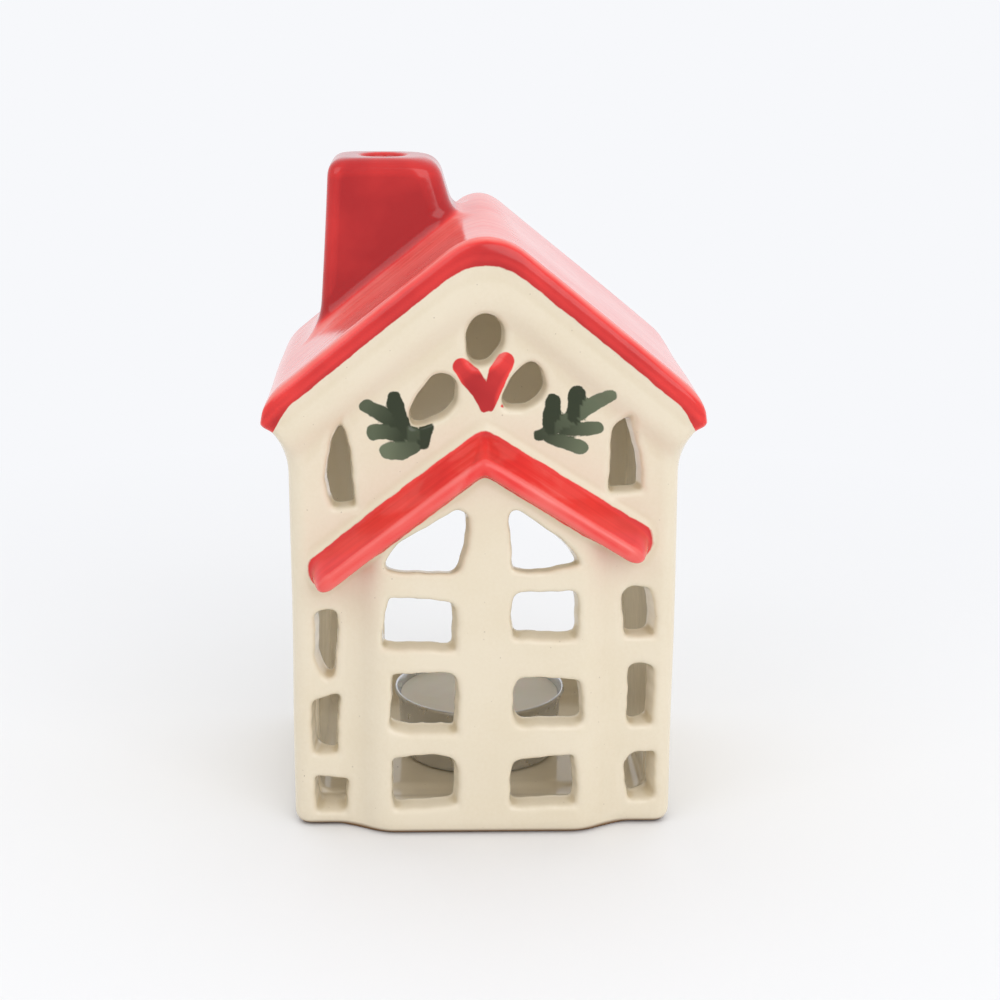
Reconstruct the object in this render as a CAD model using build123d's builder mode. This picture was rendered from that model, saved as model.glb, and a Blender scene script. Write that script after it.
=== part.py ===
"""A glazed earthenware tealight house, with the tealight that stands in it.

The house is a hollow cottage of cast clay. Its front wall has a projecting bay of pierced windows under a
chevron porch roof, its gable is pierced with slots and drop-shaped lights, and its back wall has a doorway
with a low sill, through which the tealight goes in and out. Each formed clay part is a solid of its own and
meets its neighbours face to face at the lute lines.

Frame, in millimetres: +Z is up, the front faces -Y, and the origin is the middle of the base.
"""

import os
from math import cos, radians, tan

from build123d import *

# Body of the house
body_width = 79.0
body_depth = 67.0
wall = 5.0
floor_thickness = 5.0
corner_radius = 3.0

# Roof, and the moulding that runs under it
ridge_height = 124.3
roof_pitch = 36.2
roof_thickness = 4.5
eave_reach = 5.6
gable_reach = 3.5
ridge_radius = 2.6
valley_radius = 2.0
eave_radius = 2.2
roof_edge_radius = 1.6
moulding_drop = 6.5
moulding_depth = 2.2
moulding_setback = 1.5

# Chimney on the left slope
chimney_top = 136.0
chimney_left_top = -32.4
chimney_left_foot = -34.6
chimney_right_top = -9.4
chimney_right_foot = -4.9
chimney_front = 0.8
chimney_depth = 22.0
chimney_corner = 2.4
chimney_rim = 1.2
chimney_cap = 4.0
flue_width = 12.0
flue_depth = 12.0
vent_diameter = 9.0

# Bay in the middle of the front wall
bay_width = 50.0
bay_draft = 3.0
bay_projection = 5.0
bay_edge_radius = 1.6
bay_opening_width = 41.0
bay_opening_lintel = 4.0

# Chevron porch roof over the bay
porch_height = 85.9
porch_left_pitch = 36.2
porch_right_pitch = 32.6
porch_left_reach = 35.6
porch_right_reach = 34.0
porch_projection = 8.0
porch_fall = 5.0
porch_front_height = 2.9
porch_edge_radius = 1.0

# Windows in the bay, three rows of plain ones under a row that follows the porch roof
window_rows = 3
window_width = 14.2
window_height = 11.4
window_corner = 1.4
window_sill_rise = 0.8
mullion_width = 11.0
peak_window_width = 13.8
peak_window_height = 11.4
peak_window_lintel = 5.0
peak_window_least_edge = 1.6

# Windows in the wings, lowest first: sill above the floor, height, width
left_wing_windows = ((0.6, 7.4, 6.4), (11.6, 12.6, 6.0), (28.2, 14.2, 5.2))
right_wing_windows = ((0.6, 10.6, 7.0), (17.2, 13.4, 6.4), (36.4, 11.2, 7.0))
wing_window_corner = 1.2

# Pointed slots near the eaves
slot_place = 28.8
slot_width = 6.2
slot_height = 16.6
slot_shoulder = 7.0
slot_corner = 1.2
slot_headroom = 2.2

# Drop-shaped lights in the gable: x, drop below the moulding, radius, tail dx, tail dz, tail radius
gable_lights = (
    (-0.6, 6.0, 3.6, 0.0, -4.6, 2.3),
    (-9.9, 17.8, 3.4, -4.2, -4.6, 1.0),
    (8.5, 14.8, 3.3, -3.7, -4.1, 1.0),
)

# Doorway in the back wall
doorway_width = 52.0
doorway_top = 64.0
doorway_head_radius = 14.0
doorway_foot_radius = 3.0
sill_height = 12.0

# Tealight
tealight_diameter = 38.0
tealight_height = 14.6
tealight_taper = 0.7
tealight_to_back_wall = 10.6
cup_thickness = 0.4
cup_rim = 0.9
wax_below_rim = 1.6
fit_clearance = 0.1
sustainer_diameter = 14.0
sustainer_thickness = 0.4
sustainer_neck_diameter = 3.4
sustainer_neck_height = 3.2
wick_diameter = 1.8
wick_above_wax = 7.0

# Places that follow from those sizes
half_width = body_width / 2
half_depth = body_depth / 2
inner_half_width = half_width - wall
inner_half_depth = half_depth - wall
slope = tan(radians(roof_pitch))
roof_upright = roof_thickness / cos(radians(roof_pitch))
moulding_upright = moulding_drop / cos(radians(roof_pitch))
eave_x = half_width + eave_reach
cornice_x = eave_x - moulding_setback


def roof_top(x):
    """Height of the roof's upper face at x."""
    return ridge_height - slope * abs(x)


def roof_under(x):
    """Height of the roof's under face at x, on which the walls end."""
    return roof_top(x) - roof_upright


def moulding_foot(x):
    """Height of the lower edge of the moulding on a gable at x."""
    return roof_under(x) - moulding_upright


def porch_under(x):
    """Height of the porch roof's under face at x, on which the bay ends."""
    pitch = porch_left_pitch if x < 0 else porch_right_pitch
    return porch_height - porch_fall - porch_front_height - tan(radians(pitch)) * abs(x)


def gable_points():
    """Outline of a gable wall, from the base up to the under face of the roof."""
    return [
        (-half_width, 0),
        (half_width, 0),
        (half_width, roof_under(half_width)),
        (0, roof_under(0)),
        (-half_width, roof_under(half_width)),
    ]


def moulding_points():
    """Outline of the chevron moulding on a gable, with the sloping soffits at its ends."""
    return [
        (0, roof_under(0)),
        (-cornice_x, roof_under(cornice_x)),
        (-half_width, moulding_foot(half_width)),
        (0, moulding_foot(0)),
        (half_width, moulding_foot(half_width)),
        (cornice_x, roof_under(cornice_x)),
    ]


def peaked_points(width, lintel):
    """Outline of an opening behind the bay, whose head runs under the porch roof."""
    half = width / 2
    return [
        (-half, 0),
        (half, 0),
        (half, porch_under(half) - lintel),
        (0, porch_under(0) - lintel),
        (-half, porch_under(-half) - lintel),
    ]


def outer_upright_edges(solid, face_y):
    """Upright corner edges of a gable wall at its outer face, below the moulding."""
    return [
        edge
        for edge in solid.edges().filter_by(Axis.Z)
        if abs(abs(edge.center().X) - half_width) < 0.01 and abs(edge.center().Y - face_y) < 0.01
    ]


def gable_blank(inner_face, outer_y):
    """A gable wall before it is pierced: a plate with rounded corners, and the moulding under the roof."""
    with BuildPart() as blank:
        with BuildSketch(inner_face) as plate:
            Polygon(*gable_points(), align=None)
            fillet(plate.vertices().sort_by(Axis.Y)[-1], valley_radius)
        extrude(amount=wall)
        fillet(outer_upright_edges(blank, outer_y), corner_radius)
        with BuildSketch(inner_face) as moulding:
            Polygon(*moulding_points(), align=None)
            fillet(moulding.vertices().sort_by(Axis.Y)[-1], valley_radius)
        extrude(amount=wall + moulding_depth)
    return blank.part


front_face = Plane.XZ.offset(half_depth)
front_inner_face = Plane.XZ.offset(inner_half_depth)
back_inner_face = Plane(origin=(0, inner_half_depth, 0), x_dir=(-1, 0, 0), z_dir=(0, 1, 0))

os.makedirs("parts", exist_ok=True)

# Floor slab, with a tongue that closes the foot of the bay
with BuildPart() as floor_slab:
    with BuildSketch(Plane.XY):
        Rectangle(2 * inner_half_width, 2 * inner_half_depth)
        with Locations((0, -half_depth)):
            Rectangle(bay_opening_width, wall, align=(Align.CENTER, Align.MIN))
    extrude(amount=floor_thickness)

# Front wall: gable, moulding, opening behind the bay, wing windows, slots and lights
with BuildPart() as front_wall:
    add(gable_blank(front_inner_face, -half_depth))

    with BuildSketch(front_face):
        Polygon(*peaked_points(bay_opening_width, bay_opening_lintel), align=None)
    extrude(amount=-wall, mode=Mode.SUBTRACT)

    wing_middle = (bay_width / 2 + half_width) / 2
    with BuildSketch(front_face):
        for side, windows in ((-1, left_wing_windows), (1, right_wing_windows)):
            for sill, height, width in windows:
                with Locations((side * wing_middle, floor_thickness + sill + height / 2)):
                    RectangleRounded(width, height, wing_window_corner)
    extrude(amount=-wall, mode=Mode.SUBTRACT)

    slot_head = moulding_foot(slot_place) - slot_headroom
    with BuildSketch(front_face) as slots:
        for side in (-1, 1):
            with Locations((side * slot_place, slot_head)):
                Polygon(
                    (-slot_width / 2, -slot_height),
                    (slot_width / 2, -slot_height),
                    (slot_width / 2, -slot_shoulder),
                    (0, 0),
                    (-slot_width / 2, -slot_shoulder),
                    align=None,
                )
        fillet(slots.vertices(), slot_corner)
    extrude(amount=-wall, mode=Mode.SUBTRACT)

    for light_x, light_drop, light_radius, tail_x, tail_z, tail_radius in gable_lights:
        light_z = moulding_foot(0) - light_drop
        with BuildSketch(front_face) as light:
            with Locations((light_x, light_z)):
                Circle(light_radius)
            with Locations((light_x + tail_x, light_z + tail_z)):
                Circle(tail_radius)
            make_hull(light.edges())
        extrude(amount=-wall, mode=Mode.SUBTRACT)

# Bay: a plate with drafted sides in front of the opening, pierced by its windows
with BuildPart() as bay_front:
    with BuildSketch(Plane.XY):
        Polygon(
            (-bay_width / 2, -half_depth),
            (-bay_width / 2 + bay_draft, -half_depth - bay_projection),
            (bay_width / 2 - bay_draft, -half_depth - bay_projection),
            (bay_width / 2, -half_depth),
            align=None,
        )
    extrude(amount=porch_height)
    front_edges = bay_front.edges().filter_by(Axis.Z).group_by(Axis.Y)[0]
    fillet(front_edges, bay_edge_radius)
    with BuildSketch(front_face):
        Polygon(
            (-bay_width, porch_under(-bay_width)),
            (0, porch_under(0)),
            (bay_width, porch_under(bay_width)),
            (bay_width, 2 * porch_height),
            (-bay_width, 2 * porch_height),
            align=None,
        )
    extrude(amount=bay_projection, mode=Mode.SUBTRACT)

    mullion = mullion_width / 2
    first_sill = floor_thickness + window_sill_rise
    peak_sill = porch_under(-mullion) - peak_window_lintel - peak_window_height
    row_pitch = (peak_sill - first_sill) / window_rows
    with BuildSketch(front_face):
        for row in range(window_rows):
            for side in (-1, 1):
                middle = (side * (mullion + window_width / 2), first_sill + row * row_pitch + window_height / 2)
                with Locations(middle):
                    RectangleRounded(window_width, window_height, window_corner)
    extrude(amount=bay_projection, mode=Mode.SUBTRACT)

    for side, pitch in ((-1, porch_left_pitch), (1, porch_right_pitch)):
        inner_head = porch_under(side * mullion) - peak_window_lintel
        room = inner_head - peak_sill - peak_window_least_edge
        width = min(peak_window_width, room / tan(radians(pitch)))
        outer = mullion + width
        with BuildSketch(front_face) as peak_window:
            Polygon(
                (side * mullion, peak_sill),
                (side * outer, peak_sill),
                (side * outer, porch_under(side * outer) - peak_window_lintel),
                (side * mullion, inner_head),
                align=None,
            )
            fillet(peak_window.vertices(), min(window_corner, peak_window_least_edge / 2.5))
        extrude(amount=bay_projection, mode=Mode.SUBTRACT)


def porch_arm(side, pitch, reach):
    """One wedge-shaped arm of the porch roof, from the middle down to an end cut square to its slope."""
    down_arm = Vector(side, 0, -tan(radians(pitch))).normalized()
    with BuildPart() as arm:
        with BuildSketch(Plane.YZ):
            Polygon(
                (-half_depth, porch_height),
                (-half_depth - porch_projection, porch_height - porch_fall),
                (-half_depth - porch_projection, porch_height - porch_fall - porch_front_height),
                (-half_depth, porch_height - porch_fall - porch_front_height),
                align=None,
            )
        extrude(amount=2 * reach, dir=down_arm)
        end = Vector(side * reach, -half_depth, porch_height - tan(radians(pitch)) * reach)
        split(bisect_by=Plane(origin=end, z_dir=down_arm), keep=Keep.BOTTOM)
    return arm.part


# Porch roof: a chevron of two arms that meet over the middle of the bay
with BuildPart() as porch_roof:
    add(porch_arm(-1, porch_left_pitch, porch_left_reach))
    add(porch_arm(1, porch_right_pitch, porch_right_reach))
    front_face_edges = porch_roof.faces().sort_by(Axis.Y)[0].edges()
    fillet(front_face_edges.filter_by(lambda edge: edge.length > 2 * porch_front_height), porch_edge_radius)

# Back wall: gable, moulding and the doorway over a low sill
with BuildPart() as back_wall:
    add(gable_blank(back_inner_face, half_depth))
    with BuildSketch(back_inner_face) as doorway:
        with Locations((0, sill_height)):
            Rectangle(doorway_width, doorway_top - sill_height, align=(Align.CENTER, Align.MIN))
        fillet(doorway.vertices().group_by(Axis.Y)[-1], doorway_head_radius)
        fillet(doorway.vertices().group_by(Axis.Y)[0], doorway_foot_radius)
    extrude(amount=wall, mode=Mode.SUBTRACT)


def side_wall(side):
    """A side wall with the sloping soffit along its top, between the two gable walls."""
    with BuildPart() as solid:
        with BuildSketch(front_inner_face):
            Polygon(
                (side * inner_half_width, 0),
                (side * half_width, 0),
                (side * half_width, moulding_foot(half_width)),
                (side * cornice_x, roof_under(cornice_x)),
                (side * inner_half_width, roof_under(inner_half_width)),
                align=None,
            )
        extrude(amount=-2 * inner_half_depth)
    return solid


left_wall = side_wall(-1)
right_wall = side_wall(1)


def roof_slope(keep):
    """One half of the roof: the whole rounded chevron, kept on one side of the ridge line."""
    with BuildPart() as solid:
        with BuildSketch(Plane.XZ.offset(half_depth + gable_reach)) as section:
            Polygon(
                (0, ridge_height),
                (-eave_x, roof_top(eave_x)),
                (-eave_x, roof_under(eave_x)),
                (0, roof_under(0)),
                (eave_x, roof_under(eave_x)),
                (eave_x, roof_top(eave_x)),
                align=None,
            )
            fillet(section.vertices().filter_by(lambda corner: abs(corner.X) > half_width), eave_radius)
            fillet(section.vertices().filter_by_position(Axis.X, -1, 1).sort_by(Axis.Y)[-1], ridge_radius)
            fillet(section.vertices().filter_by_position(Axis.X, -1, 1).sort_by(Axis.Y)[0], valley_radius)
        extrude(amount=-(body_depth + 2 * gable_reach))
        gable_ends = solid.faces().filter_by(Axis.Y)
        fillet(gable_ends.edges(), roof_edge_radius)
        split(bisect_by=Plane.YZ, keep=keep)
    return solid


roof_left_slope = roof_slope(Keep.BOTTOM)
roof_right_slope = roof_slope(Keep.TOP)

# Chimney: a tapering stack on the left slope, with a flue that runs down through the roof
flue_x = (chimney_left_top + chimney_right_top) / 2
flue_y = chimney_front + chimney_depth / 2
with BuildPart() as flue:
    with BuildSketch(Plane.XY):
        with Locations((flue_x, flue_y)):
            Rectangle(flue_width, flue_depth)
    extrude(amount=chimney_top - chimney_cap)

with BuildPart() as chimney:
    with BuildSketch(Plane.XZ.offset(-chimney_front)):
        Polygon(
            (chimney_left_foot, roof_top(chimney_left_foot)),
            (chimney_right_foot, roof_top(chimney_right_foot)),
            (chimney_right_top, chimney_top),
            (chimney_left_top, chimney_top),
            align=None,
        )
    extrude(amount=-chimney_depth)
    corner_edges = [edge for edge in chimney.edges() if edge.tangent_at(0.5).Z ** 2 > 0.8]
    fillet(corner_edges, chimney_corner)
    chamfer(chimney.faces().sort_by(Axis.Z)[-1].edges(), chimney_rim)
    add(flue.part, mode=Mode.SUBTRACT)
    with Locations((flue_x, flue_y, chimney_top)):
        Hole(vent_diameter / 2, depth=2 * chimney_cap)

with BuildPart() as roof_left_pierced:
    add(roof_left_slope.part)
    add(flue.part, mode=Mode.SUBTRACT)

# Tealight: cup, wax, sustainer and wick, on the floor in front of the doorway
tealight_y = inner_half_depth - tealight_to_back_wall - tealight_diameter / 2
tealight_base = Plane((0, tealight_y, floor_thickness + fit_clearance))
rim_radius = tealight_diameter / 2 - cup_rim
foot_radius = rim_radius - tealight_taper
wax_top = tealight_height - wax_below_rim
wick_foot = cup_thickness + fit_clearance + sustainer_thickness
cup_flare = tealight_taper / tealight_height
section_plane = Plane(origin=tealight_base.origin, x_dir=(1, 0, 0), z_dir=(0, -1, 0))
tealight_axis = Axis(tealight_base.origin, (0, 0, 1))


def cup_inside(height):
    """Inner radius of the cup at a height above its foot."""
    return foot_radius + cup_flare * height - cup_thickness


with BuildPart() as tealight_cup:
    with BuildSketch(section_plane):
        Polygon(
            (0, 0),
            (foot_radius, 0),
            (rim_radius, tealight_height - cup_rim),
            (rim_radius + cup_rim, tealight_height),
            (rim_radius - cup_thickness, tealight_height),
            (foot_radius - cup_thickness, cup_thickness),
            (0, cup_thickness),
            align=None,
        )
    revolve(axis=tealight_axis)

with BuildPart() as wick_sustainer:
    with BuildSketch(section_plane):
        with Locations((0, cup_thickness + fit_clearance)):
            Rectangle(sustainer_diameter / 2, sustainer_thickness, align=(Align.MIN, Align.MIN))
            Rectangle(sustainer_neck_diameter / 2, sustainer_neck_height, align=(Align.MIN, Align.MIN))
        with Locations((0, wick_foot)):
            Rectangle(wick_diameter / 2, sustainer_neck_height, align=(Align.MIN, Align.MIN), mode=Mode.SUBTRACT)
    revolve(axis=tealight_axis)

with BuildPart() as tealight_wick:
    with BuildSketch(tealight_base.offset(wick_foot)):
        Circle(wick_diameter / 2)
    extrude(amount=wax_top + wick_above_wax - wick_foot)
    chamfer(tealight_wick.edges().sort_by(Axis.Z)[-1], wick_diameter / 5)

with BuildPart() as tealight_wax:
    wax_foot = cup_thickness + fit_clearance
    with BuildSketch(section_plane):
        Polygon(
            (0, wax_foot),
            (cup_inside(wax_foot) - fit_clearance, wax_foot),
            (cup_inside(wax_top) - fit_clearance, wax_top),
            (0, wax_top),
            align=None,
        )
    revolve(axis=tealight_axis)
    with BuildSketch(tealight_base.offset(wax_foot)):
        Circle(sustainer_diameter / 2 + fit_clearance)
    extrude(amount=sustainer_thickness + fit_clearance, mode=Mode.SUBTRACT)
    with BuildSketch(tealight_base.offset(wax_foot)):
        Circle(sustainer_neck_diameter / 2 + fit_clearance)
    extrude(amount=sustainer_neck_height + fit_clearance, mode=Mode.SUBTRACT)
    with BuildSketch(tealight_base.offset(wax_foot)):
        Circle(wick_diameter / 2 + fit_clearance)
    extrude(amount=tealight_height, mode=Mode.SUBTRACT)

pieces = {
    "floor_slab": floor_slab,
    "front_wall": front_wall,
    "bay_front": bay_front,
    "porch_roof": porch_roof,
    "back_wall": back_wall,
    "left_wall": left_wall,
    "right_wall": right_wall,
    "roof_left_slope": roof_left_pierced,
    "roof_right_slope": roof_right_slope,
    "chimney": chimney,
    "tealight_cup": tealight_cup,
    "tealight_wax": tealight_wax,
    "wick_sustainer": wick_sustainer,
    "tealight_wick": tealight_wick,
}

for name, piece in pieces.items():
    piece.part.label = name
    export_step(piece.part, f"parts/{name}.step")
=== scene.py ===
"""Looks of a glazed earthenware tealight house and of the tealight that stands in it.

The fired clay has soft, glaze-rounded edges everywhere, so its shape is a field of signed distances in
millimetres, whose zero surface is skinned and then cut, along the lute lines, into the pieces of the solids.
Paint is stored on the points of the skin as distances to the edge of the brush mark, so its edges stay crisp.
"""

import logging
import math
from collections.abc import Callable, Sequence
from dataclasses import dataclass, field
from enum import Enum
from functools import partial

import bmesh
import bpy
import numpy as np
from mathutils import Matrix, Vector


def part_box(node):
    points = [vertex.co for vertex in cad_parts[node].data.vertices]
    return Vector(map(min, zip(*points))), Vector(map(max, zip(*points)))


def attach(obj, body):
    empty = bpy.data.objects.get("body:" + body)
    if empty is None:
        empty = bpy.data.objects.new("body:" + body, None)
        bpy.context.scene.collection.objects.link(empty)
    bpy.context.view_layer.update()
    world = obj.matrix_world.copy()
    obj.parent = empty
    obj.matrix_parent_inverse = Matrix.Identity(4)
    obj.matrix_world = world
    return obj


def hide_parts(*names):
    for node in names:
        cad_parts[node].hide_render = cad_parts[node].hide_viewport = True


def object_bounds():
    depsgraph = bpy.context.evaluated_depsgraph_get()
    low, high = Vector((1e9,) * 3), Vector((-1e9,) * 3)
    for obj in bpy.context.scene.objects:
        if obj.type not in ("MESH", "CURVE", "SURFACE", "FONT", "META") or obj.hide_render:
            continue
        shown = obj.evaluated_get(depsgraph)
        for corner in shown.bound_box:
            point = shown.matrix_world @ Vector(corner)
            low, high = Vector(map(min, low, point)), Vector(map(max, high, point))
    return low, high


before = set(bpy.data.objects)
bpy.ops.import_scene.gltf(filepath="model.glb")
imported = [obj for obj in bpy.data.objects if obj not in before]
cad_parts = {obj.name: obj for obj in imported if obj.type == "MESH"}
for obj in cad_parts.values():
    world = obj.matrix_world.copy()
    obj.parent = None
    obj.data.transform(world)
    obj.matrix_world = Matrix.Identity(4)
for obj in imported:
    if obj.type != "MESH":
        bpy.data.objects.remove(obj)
cad_box = [list(corner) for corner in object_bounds()]

log = logging.getLogger("tealight_house")

MM = 0.001
X, Y, Z = range(3)

Values = np.ndarray
Point2 = tuple[float, float]
Point3 = tuple[float, float, float]
Node = bpy.types.Node
Socket = bpy.types.NodeSocket
AddNode = Callable[..., Node]


class Body(Enum):
    """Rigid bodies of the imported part."""

    HOUSE = "house"
    TEALIGHT = "tealight"


class Slot(Enum):
    """Material slots of the record."""

    CREAM = "cream_glaze"
    RED = "red_glaze"
    CUP = "tealight_aluminium"
    WAX = "candle_wax"
    TIN = "tinned_steel"
    WICK = "waxed_cotton"


def node_box(node: str) -> tuple[Values, Values]:
    """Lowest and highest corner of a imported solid, in millimetres."""
    low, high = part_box(node)
    return np.array(low) / MM, np.array(high) / MM


# Shapes as fields of signed distances


def soft_union(first: Values, second: Values, reach: float) -> Values:
    """Joins two shapes with a cove about as wide as reach."""
    share = np.maximum(reach - np.abs(first - second), 0) / reach
    return np.minimum(first, second) - share * share * (reach / 4)


def soft_meet(first: Values, second: Values, reach: float) -> Values:
    """Keeps what two shapes share, with rounded edges about as wide as reach."""
    return -soft_union(-first, -second, reach)


def soft_abs(values: Values, radius: float) -> Values:
    """Distance from zero with its sharp turn rounded off."""
    return np.sqrt(values * values + radius * radius)


def round_abs(values: Values, reach: Values) -> Values:
    """Distance from zero with its sharp turn rounded off within reach, and exact beyond it."""
    away = np.abs(values)
    return np.where(away < reach, (values * values + reach * reach) / (2 * reach), away)


def peaked_abs(values: Values, rounding: Point2) -> Values:
    """Distance from zero with its turn rounded by the first value and then lowered by the second."""
    return soft_abs(values, rounding[0]) - rounding[1]


def rounded_box(
    across: Values, along: Values, half_across: float, half_along: float, radius: Values
) -> Values:
    """Distance to a rectangle with round corners, in a plane.

    Args:
        across, along: Places from its middle.
        half_across, half_along: Half its sides.
        radius: Radius of its corners.

    Returns:
        The distances, negative inside.
    """
    over_across = np.abs(across) - half_across + radius
    over_along = np.abs(along) - half_along + radius
    outside = np.hypot(np.maximum(over_across, 0), np.maximum(over_along, 0))
    return outside + np.minimum(np.maximum(over_across, over_along), 0) - radius


def ramp(values: Values, start: float, end: float) -> Values:
    """Rises smoothly from 0 at start to 1 at end."""
    share = np.clip((values - start) / (end - start), 0, 1)
    return share * share * (3 - 2 * share)


def swell(values: Values, height: Values, place: float, half_width: float) -> Values:
    """A soft hump of this height at a place."""
    return height * np.exp(-(((values - place) / half_width) ** 2))


def stroke_distance(
    x: Values, z: Values, points: Sequence[Point2], widths: Sequence[float]
) -> tuple[Values, Values]:
    """Distance to a brush stroke along a bent line.

    Args:
        x, z: Places on the wall.
        points: The line of the stroke.
        widths: Half widths at those points.

    Returns:
        The distance to the stroke's edge, and how far along the stroke the nearest place lies, from 0 to 1.
    """
    best = np.full(np.broadcast(x, z).shape, 1e3)
    along = np.zeros_like(best)
    spans = len(points) - 1
    for number, ((x0, z0), (x1, z1)) in enumerate(zip(points, points[1:])):
        length = math.hypot(x1 - x0, z1 - z0)
        share = np.clip(((x - x0) * (x1 - x0) + (z - z0) * (z1 - z0)) / length**2, 0, 1)
        place = (number + share) / spans
        edge = widths[number] + (widths[number + 1] - widths[number]) * share
        distance = np.hypot(x - x0 - share * (x1 - x0), z - z0 - share * (z1 - z0)) - edge
        nearer = distance < best
        best = np.where(nearer, distance, best)
        along = np.where(nearer, place, along)
    return best, along


@dataclass(frozen=True)
class Grid:
    """Evenly spaced points of a block of space, in millimetres."""

    low: Point3
    counts: tuple[int, int, int]
    step: float

    @classmethod
    def spanning(cls, low: Sequence[float], high: Sequence[float], step: float) -> "Grid":
        """The grid that covers a box."""
        counts = tuple(int(math.ceil((b - a) / step)) + 1 for a, b in zip(low, high))
        return cls(tuple(low), counts, step)

    @property
    def high(self) -> Point3:
        """The last point."""
        return tuple(a + self.step * (n - 1) for a, n in zip(self.low, self.counts))

    def axes(self) -> tuple[Values, Values, Values]:
        """Coordinates along X, Y and Z, shaped so that they broadcast to the block."""
        lines = [a + self.step * np.arange(n, dtype=np.float32) for a, n in zip(self.low, self.counts)]
        return lines[0][:, None, None], lines[1][None, :, None], lines[2][None, None, :]

    def slices(self, low: Sequence[float], high: Sequence[float]) -> tuple[slice, slice, slice]:
        """Slices that take the part of the block that covers a box."""
        return tuple(
            slice(max(int((a - g) / self.step), 0), min(int(math.ceil((b - g) / self.step)) + 1, n))
            for a, b, g, n in zip(low, high, self.low, self.counts)
        )

    def part(self, slices: tuple[slice, slice, slice]) -> "Grid":
        """The grid of a part of the block."""
        low = tuple(g + s.start * self.step for g, s in zip(self.low, slices))
        return Grid(low, tuple(s.stop - s.start for s in slices), self.step)


CELL_CORNERS = np.array([(i, j, k) for i in (0, 1) for j in (0, 1) for k in (0, 1)])
CELL_EDGES = [
    (a, b) for a in range(8) for b in range(a) if np.abs(CELL_CORNERS[a] - CELL_CORNERS[b]).sum() == 1
]


def skin(values: Values, grid: Grid) -> tuple[Values, Values]:
    """Skins the zero surface of a field with one point in each cell that it crosses.

    Args:
        values: The field at the grid's points, negative inside.
        grid: Where those points are.

    Returns:
        Points in millimetres, and quads that point outwards.
    """
    inside = values < 0
    cells_shape = np.array(values.shape) - 1
    total = np.zeros(cells_shape, np.uint8)
    for corner in CELL_CORNERS:
        total += inside[tuple(slice(c, c + n) for c, n in zip(corner, cells_shape))]
    cells = np.argwhere((total > 0) & (total < 8))
    numbers = np.full(cells_shape, -1, np.int64)
    numbers[tuple(cells.T)] = np.arange(len(cells))
    corners = np.stack([values[tuple((cells + corner).T)] for corner in CELL_CORNERS], 1).astype(float)
    places = np.zeros((len(cells), 3))
    hits = np.zeros((len(cells), 1))
    for a, b in CELL_EDGES:
        crossed = ((corners[:, a] < 0) != (corners[:, b] < 0))[:, None]
        gap = np.where(crossed[:, 0], corners[:, a] - corners[:, b], 1)
        share = (corners[:, a] / gap)[:, None]
        places += crossed * (CELL_CORNERS[a] + share * (CELL_CORNERS[b] - CELL_CORNERS[a]))
        hits += crossed
    points = np.array(grid.low) + grid.step * (cells + places / hits)
    quads = []
    for axis in range(3):
        second, third = (axis + 1) % 3, (axis + 2) % 3
        before = np.take(inside, range(cells_shape[axis]), axis)
        after = np.take(inside, range(1, cells_shape[axis] + 1), axis)
        edges = np.argwhere(before != after)
        inner = (edges[:, second] > 0) & (edges[:, third] > 0)
        inner &= (edges[:, second] < cells_shape[second]) & (edges[:, third] < cells_shape[third])
        edges = edges[inner]
        ring = []
        for back_second, back_third in ((1, 1), (0, 1), (0, 0), (1, 0)):
            cell = edges.copy()
            cell[:, second] -= back_second
            cell[:, third] -= back_third
            ring.append(numbers[tuple(cell.T)])
        quad = np.stack(ring, 1)
        turned = ~before[tuple(edges.T)]
        quad[turned] = quad[turned][:, ::-1]
        quads.append(quad)
    return points, np.concatenate(quads)


def sample(values: Values, grid: Grid, points: Values) -> Values:
    """The field at any points of the block, from the eight grid points around each.

    Args:
        values: The field at the grid's points.
        grid: Where those points are.
        points: The places asked for.

    Returns:
        The field there.
    """
    place = (points - np.array(grid.low)) / grid.step
    cell = np.clip(np.floor(place).astype(int), 0, np.array(values.shape) - 2)
    share = place - cell
    result = np.zeros(len(points))
    for corner in CELL_CORNERS:
        weight = np.where(corner, share, 1 - share).prod(axis=1)
        result += weight * values[tuple((cell + corner).T)]
    return result


def slopes(values: Values, grid: Grid, points: Values) -> Values:
    """The field's rate of change along X, Y and Z at points of the block.

    Args:
        values: The field at the grid's points.
        grid: Where those points are.
        points: The places asked for.

    Returns:
        A row of three for each place.
    """
    columns = []
    for axis in range(3):
        offset = np.zeros(3)
        offset[axis] = grid.step
        rise = sample(values, grid, points + offset) - sample(values, grid, points - offset)
        columns.append(rise / (2 * grid.step))
    return np.stack(columns, 1)


@dataclass(frozen=True)
class Cut:
    """A flat cut, in millimetres: what lies where the normal points is taken away."""

    point: Point3
    normal: Point3


def square_cut(axis: int, place: float, way: int) -> Cut:
    """A cut square to an axis, which takes away what lies that way, 1 or -1 along the axis."""
    unit = np.eye(3)[axis]
    return Cut(tuple(place * unit), tuple(way * unit))


def slope_cut(side: int, pitch: float, peak: float, keep_below: bool) -> Cut:
    """A cut parallel to one of two slopes that meet over the middle.

    Args:
        side: -1 for the left slope, 1 for the right one.
        pitch: Its angle in degrees.
        peak: Height at which the cut crosses the middle.
        keep_below: Whether what lies above it is taken away, or what lies below.

    Returns:
        The cut.
    """
    angle = math.radians(pitch)
    up = 1 if keep_below else -1
    return Cut((0, 0, peak), (up * side * math.sin(angle), 0, up * math.cos(angle)))


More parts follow.
